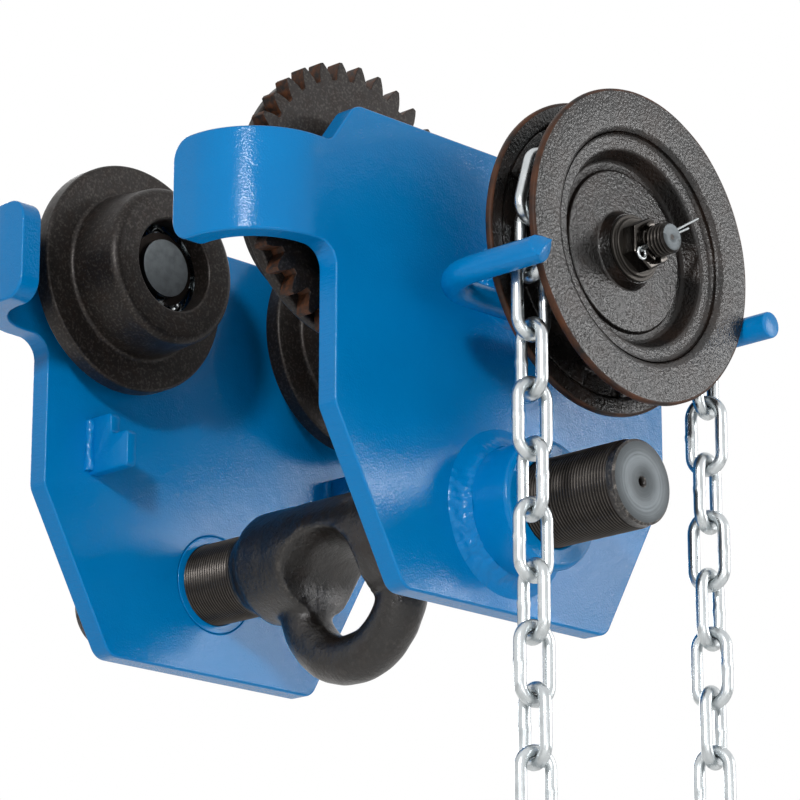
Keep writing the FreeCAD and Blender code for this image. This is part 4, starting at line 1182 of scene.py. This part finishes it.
def split_pin(y):
    """Split pin: an eye, a shank through the crown and two legs of different length."""
    sizes = drive_sizes()
    radius = sizes.pin_radius
    shank = sizes.crown_radius + mm(2)
    eye = mm(2.2)
    aim = Matrix.Translation((0, y, SHAFT_Z)) @ Matrix.Rotation(-sizes.pin_angle, 4, "Y")
    start = Matrix.Translation((-shank, 0, 0)) @ Matrix.Rotation(QUARTER_TURN, 4, "Y")
    bm = bmesh.new()
    for side, length in ((-1, mm(23.0)), (1, mm(31.3))):
        leg = bmesh.new()
        rod(leg, start, radius, [(shank,), (length * 0.4,), (length * 0.6,)], segments=16)
        bmesh.ops.scale(leg, vec=(1, 1, 0.48), verts=leg.verts)
        bmesh.ops.translate(leg, vec=(0, 0, side * radius * 0.53), verts=leg.verts)
        for vert in leg.verts:
            vert.co.z += side * mm(0.45) * max(0, vert.co.x - sizes.crown_radius) / length
        bmesh.ops.transform(leg, matrix=aim, verts=leg.verts)
        add_part(bm, leg)
    head = Matrix.Translation((-shank + mm(0.6), 0, radius * 0.5)) @ Matrix.Rotation(-QUARTER_TURN, 4, "Y")
    rod(bm, aim @ head @ Matrix.Rotation(math.pi, 4, "Z"), radius * 0.62, [(eye, math.radians(300))],
        segments=14)
    return bm


class TROLLEY_OT_hub_fastening(bpy.types.Operator):
    """Make the washer, the castle nut, the stud's thread and the split pin"""

    bl_idname = "trolley.hub_fastening"
    bl_label = "Hub Fastening"

    def execute(self, context):
        sizes = drive_sizes()
        base = -WASHER_LOW.y
        crown_top = base + sizes.nut_height + sizes.crown_height
        black = finish_once(machined_metal, "black_oxide", finishes().oxide, 0.14, 0.3)
        bright = finish_once(turned_face, "oiled_washer", SHAFT_Z, finishes().oxide)
        stud = finish_once(cut_thread, "stud_thread", SHAFT_Z, sizes.stud_radius,
                           sizes.stud_radius + mm(0.5))
        end = finish_once(turned_face, "turned_stud_end", SHAFT_Z, finishes().turned_steel)
        zinc = finish_once(zinc_plate, "zinc_on_wire")
        washer = hub_washer(-WASHER_HIGH.y, base)
        finish_hub_piece(washer, "hub_washers", "black_fastener", [bright], ["hub_washer"])
        finish_hub_piece(castle_nut(base), "crowned_nut", "black_fastener", [black], ["castle_nut"])
        thread = stud_sleeve(crown_top - mm(2.5))
        finish_hub_piece(thread, "stud_thread", "oiled_gear_steel", [stud, end], sharp=50.0)
        pin = split_pin(crown_top - sizes.crown_height / 2)
        finish_hub_piece(pin, "bent_split_pin", "zinc_plate", [zinc], ["split_pin"])
        return {"FINISHED"}


def chain_joints():
    """Points where neighbouring links meet, once round the closed chain, as X and Z."""
    sizes = drive_sizes()
    axis = Vector((0, SHAFT_Z))
    joints = []
    for index in range(sizes.wrap_links + 1):
        angle = math.pi - sizes.lead_angle - index * sizes.wrap_step
        joints.append(axis + sizes.wrap_radius * Vector((math.cos(angle), math.sin(angle))))
    first, last = joints[0], joints[-1]
    drop = Vector((0, sizes.strand_links * sizes.chain_pitch))
    step = Vector((0, sizes.chain_pitch))
    joints += [last - step * index for index in range(1, sizes.strand_links)]
    joints += [first + last - drop - joint for joint in joints[:sizes.wrap_links + 1]]
    joints += [first - drop + step * index for index in range(1, sizes.strand_links)]
    return joints


def chain_link(bm, place, inner_length):
    """Add one round-wire link along the place's X, with the lump of its butt weld on one leg."""
    sizes = drive_sizes()
    wire = sizes.chain_wire / 2
    bend = sizes.link_width / 2 + wire
    straight = inner_length - sizes.link_width
    lump = mm(0.9)
    swelling = 0.07
    swelling_change = 0.05
    rest = straight / 2 - 2 * lump
    start = Matrix.Translation((0, 0, bend)) @ Matrix.Rotation(QUARTER_TURN, 4, "Y")
    first_vert = len(bm.verts)
    rod(bm, start, wire,
        [(lump,), (lump,), (rest,), (bend, math.pi), (straight,), (bend, math.pi), (rest,), (lump,), (lump,)],
        segments=16, capped=False)
    bm.verts.ensure_lookup_table()
    verts = bm.verts[first_vert:]
    for vert in verts:
        if vert.co.z > 0 and abs(vert.co.x) < mm(1.2):
            out = Vector((0, vert.co.y, vert.co.z - bend))
            change = noise.noise((place.translation + vert.co) / mm(1.5))
            vert.co += out * (swelling + swelling_change * change)
    bmesh.ops.transform(bm, matrix=place, verts=verts)


class TROLLEY_OT_hand_chain(bpy.types.Operator):
    """Make the endless hand chain link by link"""

    bl_idname = "trolley.hand_chain"
    bl_label = "Hand Chain"

    def execute(self, context):
        sizes = drive_sizes()
        chance = random.Random(7)
        twist_spread = 2.5
        hanging_play = mm(0.15)
        wrapped_play = mm(0.8)
        plane = (CHAIN_WHEEL_LOW.y + CHAIN_WHEEL_HIGH.y - mm(2)) / 2
        joints = chain_joints()
        bm = bmesh.new()
        for index, start in enumerate(joints):
            end = joints[(index + 1) % len(joints)]
            middle = (start + end) / 2
            tilt = math.atan2(end.y - start.y, end.x - start.x)
            hanging = abs(start.x - end.x) < mm(0.5)
            roll = QUARTER_TURN if index % 2 else 0
            if hanging:
                roll += sizes.strand_twist + math.radians(chance.uniform(-twist_spread, twist_spread))
            place = (Matrix.Translation((middle.x, plane, middle.y)) @ Matrix.Rotation(-tilt, 4, "Y")
                     @ Matrix.Rotation(roll, 4, "X"))
            if chance.random() < 0.5:
                place = place @ Matrix.Rotation(math.pi, 4, "X")
            chain_link(bm, place, sizes.chain_pitch + (hanging_play if hanging else wrapped_play))
        zinc = finish_once(zinc_plate, "zinc_on_wire")
        finish_piece(bm, "zinc_hand_chain", "drive_side", "zinc_plate", [zinc], ["hand_chain"], sharp=80.0)
        return {"FINISHED"}


def guide_rod(radius, z, base):
    """Bent rod with an arm either side of the chain wheel; the left arm's end is cut to a chisel."""
    bend = drive_sizes().guide_bend
    half_span = GUIDE_HIGH.x - radius
    reach = -GUIDE_LOW.y
    arm = reach - base - bend
    heading = Matrix(((1, 0, 0, -half_span), (0, 0, -1, reach), (0, 1, 0, z), (0, 0, 0, 1)))
    elbow = (bend, QUARTER_TURN)
    bm = bmesh.new()
    rod(bm, heading, radius, [(arm,), elbow, (2 * (half_span - bend),), elbow, (arm,)], segments=32)
    for lean in (-0.5, 0.35):
        left_arm = [vert for vert in bm.verts if vert.co.x < radius * 1.2 - half_span]
        around = {item for vert in left_arm for item in (*vert.link_edges, *vert.link_faces)}
        made = bmesh.ops.bisect_plane(bm, geom=left_arm + list(around), clear_outer=True,
                                      plane_co=(-half_span, reach - mm(0.3), z),
                                      plane_no=(lean, 1, -lean))["geom_cut"]
        bmesh.ops.edgeloop_fill(bm, edges=[edge for edge in only(BMEdge, made) if edge.is_boundary])
    ends = sharp_edges(bm.edges, 60)
    bmesh.ops.recalc_face_normals(bm, faces=bm.faces)
    bevel_edges(bm, ends, mm(0.8))
    return bm


def housing_tube():
    """Tube through the drive plate that the shaft turns in."""
    bore = mm(10.02)
    inner_end = -HOUSING_HIGH.y
    outer_end = -HOUSING_LOW.y
    bm = bmesh.new()
    lathe(bm, rounded([
        (bore, inner_end, mm(0.5)),
        (HOUSING_HIGH.x, inner_end, mm(0.5)),
        (HOUSING_HIGH.x, outer_end, mm(1.2)),
        (bore, outer_end, mm(0.5)),
    ]), 0, SHAFT_Z)
    return bm


def guide_seam(base, z):
    """Lumps of weld either side of the guide rod on the housing."""
    bm = bmesh.new()
    lump = Matrix.Diagonal((mm(10), mm(2.6), mm(3.6), 1))
    for side in (-1, 1):
        place = Matrix.Translation((0, base + side * mm(3.2), z))
        bmesh.ops.create_icosphere(bm, subdivisions=4, radius=1.0, matrix=place @ lump)
    roughen(bm, mm(0.5), mm(4))
    return bm


class TROLLEY_OT_chain_guide(bpy.types.Operator):
    """Make the bent guide rod, the shaft's housing and their weld seams"""

    bl_idname = "trolley.chain_guide"
    bl_label = "Chain Guide and Housing"

    def execute(self, context):
        radius = (GUIDE_HIGH.z - GUIDE_LOW.z) / 2
        z = (GUIDE_HIGH.z + GUIDE_LOW.z) / 2
        base = -GUIDE_HIGH.y + radius
        ring = weld_ring(HOUSING_HIGH.x, mm(5), mm(5), SHAFT_Z, 30)
        for name, node, bm, sharp in (
                ("guide_rod", "chain_guide", guide_rod(radius, z, base), 35.0),
                ("housing_tube", "shaft_housing", housing_tube(), 35.0),
                ("housing_seam", "housing_weld", ring, 70.0),
                ("guide_seam", "guide_weld", guide_seam(base, z + radius * 0.62), 35.0)):
            finish_painted(bm, name, "drive_side", node, sharp=sharp, mirrored=True)
        return {"FINISHED"}


def anti_tilt_lug(direction):
    """Stepped lug on the +Y plate's inner face with a bead of weld down both sides."""
    sizes = plate_sizes()
    upper = LUG_LOW.y + sizes.lug_nose
    step = LUG_HIGH.z - sizes.lug_step
    root = PLATE_INNER + mm(0.8)
    corner = mm(2)
    outline = rounded([
        (root, LUG_LOW.z, 0),
        (root, LUG_HIGH.z, 0),
        (upper, LUG_HIGH.z, corner),
        (upper, step, corner),
        (LUG_LOW.y, step, corner),
        (LUG_LOW.y, LUG_LOW.z, corner),
    ])
    bm = flat_plate(outline, [], sizes.lug_thickness, mm(0.7))
    centre = direction * (LUG_LOW.x + LUG_HIGH.x) / 2
    place = Matrix(((0, 0, 1, centre), (1, 0, 0, 0), (0, 1, 0, 0), (0, 0, 0, 1)))
    bmesh.ops.transform(bm, matrix=place, verts=bm.verts)
    bead_step = (LUG_HIGH.z - LUG_LOW.z - mm(3)) / 20
    for side in (-1, 1):
        bead = bmesh.new()
        start = Matrix.Translation((centre + side * (sizes.lug_thickness / 2 + mm(0.4)),
                                    PLATE_INNER - mm(0.3), LUG_LOW.z + mm(1.5)))
        rod(bead, start, mm(2.5), [(bead_step,)] * 20, segments=16)
        roughen(bead, mm(0.9), mm(2.6))
        add_part(bm, bead)
    return bm


class TROLLEY_OT_anti_tilt_lugs(bpy.types.Operator):
    """Make the four stepped lugs below the beam's flange"""

    bl_idname = "trolley.anti_tilt_lugs"
    bl_label = "Anti-tilt Lugs"

    def execute(self, context):
        for side in ("rear", "drive"):
            for label, direction in (("left", -1), ("right", 1)):
                finish_painted(anti_tilt_lug(direction), f"{side}_{label}_lug", side + "_side",
                               f"{side}_{label}_anti_tilt_lug", mirrored=side == "drive")
        return {"FINISHED"}


class TROLLEY_OT_inner_pieces(bpy.types.Operator):
    """Give the axles, bearings, circlips, bushes, shaft and key their finishes"""

    bl_idname = "trolley.inner_pieces"
    bl_label = "Inner Pieces"

    def execute(self, context):
        colours = finishes()
        finish_of = {
            "turned_steel": machined_metal("turned_axle_steel", colours.turned_steel, 0.25, 0.42),
            "bearing_steel": machined_metal("ground_bearing_steel", colours.zinc, 0.1, 0.25),
            "spring_steel": machined_metal("black_spring_steel", colours.gear, 0.28, 0.45),
            "bush_bronze": machined_metal("oiled_bronze", colours.bronze, 0.25, 0.45),
            "oiled_gear_steel": oiled_steel("oiled_pinion_steel", 0, SHAFT_Z),
        }
        for part in frame["record"]["subparts"]:
            finish = finish_of.get(part["material_slot"])
            if finish:
                for slot in frame["nodes"][part["node"]].material_slots:
                    slot.material = finish
        return {"FINISHED"}


def add_lamp(name, place, size, power):
    """Soft square lamp that shines at the trolley's middle."""
    lamp = bpy.data.lights.new(name, "AREA")
    lamp.shape = "SQUARE"
    lamp.size = size
    lamp.energy = power
    turn = (LAMP_TARGET - Vector(place)).to_track_quat("-Z", "Y")
    place_object(name, lamp).matrix_world = Matrix.LocRotScale(Vector(place), turn, None)


def seen_rays(tree):
    """One for rays that show the surroundings: to the camera, in reflections and through clear parts."""
    path = add_node(tree, "ShaderNodeLightPath")
    seen = add_node(tree, "ShaderNodeMath", {
        0: path.outputs["Is Camera Ray"], 1: path.outputs["Is Glossy Ray"]}, operation="MAXIMUM")
    return add_node(tree, "ShaderNodeMath", {
        0: seen, 1: path.outputs["Is Transmission Ray"]}, operation="MAXIMUM")


def white_world():
    """Even pale light, with pure white where the camera, reflections and clear parts see it."""
    world = bpy.data.worlds.new("studio")
    world.use_nodes = True
    tree = world.node_tree
    tree.nodes.clear()
    strength = add_node(tree, "ShaderNodeMapRange", {
        "Value": seen_rays(tree), "To Min": AMBIENT, "To Max": 1.0})
    background = add_node(tree, "ShaderNodeBackground", {
        "Color": (1.0, 1.0, 1.0, 1.0), "Strength": strength})
    add_node(tree, "ShaderNodeOutputWorld", {"Surface": background})
    bpy.context.scene.world = world


def pale_floor():
    """Matt pale studio floor below the hanging trolley; from underneath it lets the view through."""
    bm = bmesh.new()
    bmesh.ops.create_grid(bm, x_segments=8, y_segments=8, size=6.0,
                          matrix=Matrix.Translation((0, 0, FLOOR_Z)))
    mesh = mesh_from(bm, "studio_floor")
    material, tree, coords = begin_material("pale_floor")
    grain = add_node(tree, "ShaderNodeTexNoise", {"Vector": coords, "Scale": 1 / mm(60), "Detail": 3.0})
    tint = add_node(tree, "ShaderNodeMix", {
        0: grain, 6: linear("#F0EFEC"), 7: linear("#F6F5F3")}, data_type="RGBA")
    glow = add_node(tree, "ShaderNodeMapRange", {"Value": seen_rays(tree), "To Max": FLOOR_GLOW})
    matt = add_node(tree, "ShaderNodeBsdfPrincipled", {
        "Base Color": tint, "Roughness": 0.8, "Emission Color": (1.0, 1.0, 1.0, 1.0),
        "Emission Strength": glow})
    underneath = add_node(tree, "ShaderNodeNewGeometry").outputs["Backfacing"]
    clear = add_node(tree, "ShaderNodeBsdfTransparent")
    sides = add_node(tree, "ShaderNodeMixShader", {0: underneath, 1: matt, 2: clear})
    add_node(tree, "ShaderNodeOutputMaterial", {"Surface": sides})
    mesh.materials.append(material)
    place_object("studio_floor", mesh)


class TROLLEY_OT_stage(bpy.types.Operator):
    """Set the camera, the lamps, the white surroundings and the floor"""

    bl_idname = "trolley.stage"
    bl_label = "Stage"

    def execute(self, context):
        context.scene.view_settings.view_transform = "Standard"
        camera = bpy.data.cameras.new("photo_camera")
        camera.lens = CAMERA_LENS
        camera.sensor_width = 36.0
        camera.clip_end = 50.0
        up = CAMERA_RIGHT.cross(CAMERA_LOOK)
        axes = Matrix((CAMERA_RIGHT, up, -CAMERA_LOOK)).transposed().to_4x4()
        holder = place_object("photo_camera", camera)
        holder.matrix_world = Matrix.Translation(CAMERA_PLACE) @ axes @ Matrix.Rotation(CAMERA_ROLL, 4, "Z")
        context.scene.camera = holder
        for lamp in LAMPS:
            add_lamp(*lamp)
        white_world()
        pale_floor()
        return {"FINISHED"}


class TROLLEY_PT_panel(bpy.types.Panel):
    """Sizes, finishes and operators of the trolley"""

    bl_label = "Geared Beam Trolley"
    bl_idname = "TROLLEY_PT_panel"
    bl_space_type = "VIEW_3D"
    bl_region_type = "UI"
    bl_category = "Trolley"

    def draw(self, context):
        for group in SCENE_GROUPS:
            box = self.layout.box()
            values = getattr(context.scene, group)
            for name in values.__annotations__:
                box.prop(values, name)
        for operator in OPERATORS:
            self.layout.operator(operator.bl_idname)


SCENE_GROUPS = {
    "trolley_plates": PlateSizes,
    "trolley_bar": BarSizes,
    "trolley_wheels": WheelSizes,
    "trolley_drive": HandDriveSizes,
    "trolley_finishes": Finishes,
}
OPERATORS = (
    TROLLEY_OT_side_plates,
    TROLLEY_OT_round_nuts,
    TROLLEY_OT_load_bar,
    TROLLEY_OT_trolley_wheels,
    TROLLEY_OT_chain_wheel,
    TROLLEY_OT_hub_fastening,
    TROLLEY_OT_hand_chain,
    TROLLEY_OT_chain_guide,
    TROLLEY_OT_anti_tilt_lugs,
    TROLLEY_OT_inner_pieces,
    TROLLEY_OT_stage,
)


def register():
    for name, group in SCENE_GROUPS.items():
        bpy.utils.register_class(group)
        setattr(bpy.types.Scene, name, PointerProperty(type=group))
    for operator in OPERATORS:
        bpy.utils.register_class(operator)
    bpy.utils.register_class(TROLLEY_PT_panel)


def unregister():
    bpy.utils.unregister_class(TROLLEY_PT_panel)
    for operator in reversed(OPERATORS):
        bpy.utils.unregister_class(operator)
    for name, group in SCENE_GROUPS.items():
        delattr(bpy.types.Scene, name)
        bpy.utils.unregister_class(group)


def main():
    """Build the dressed trolley."""
    register()
    for operator in OPERATORS:
        group, name = operator.bl_idname.split(".")
        getattr(getattr(bpy.ops, group), name)()


if __name__ == "__main__":
    main()
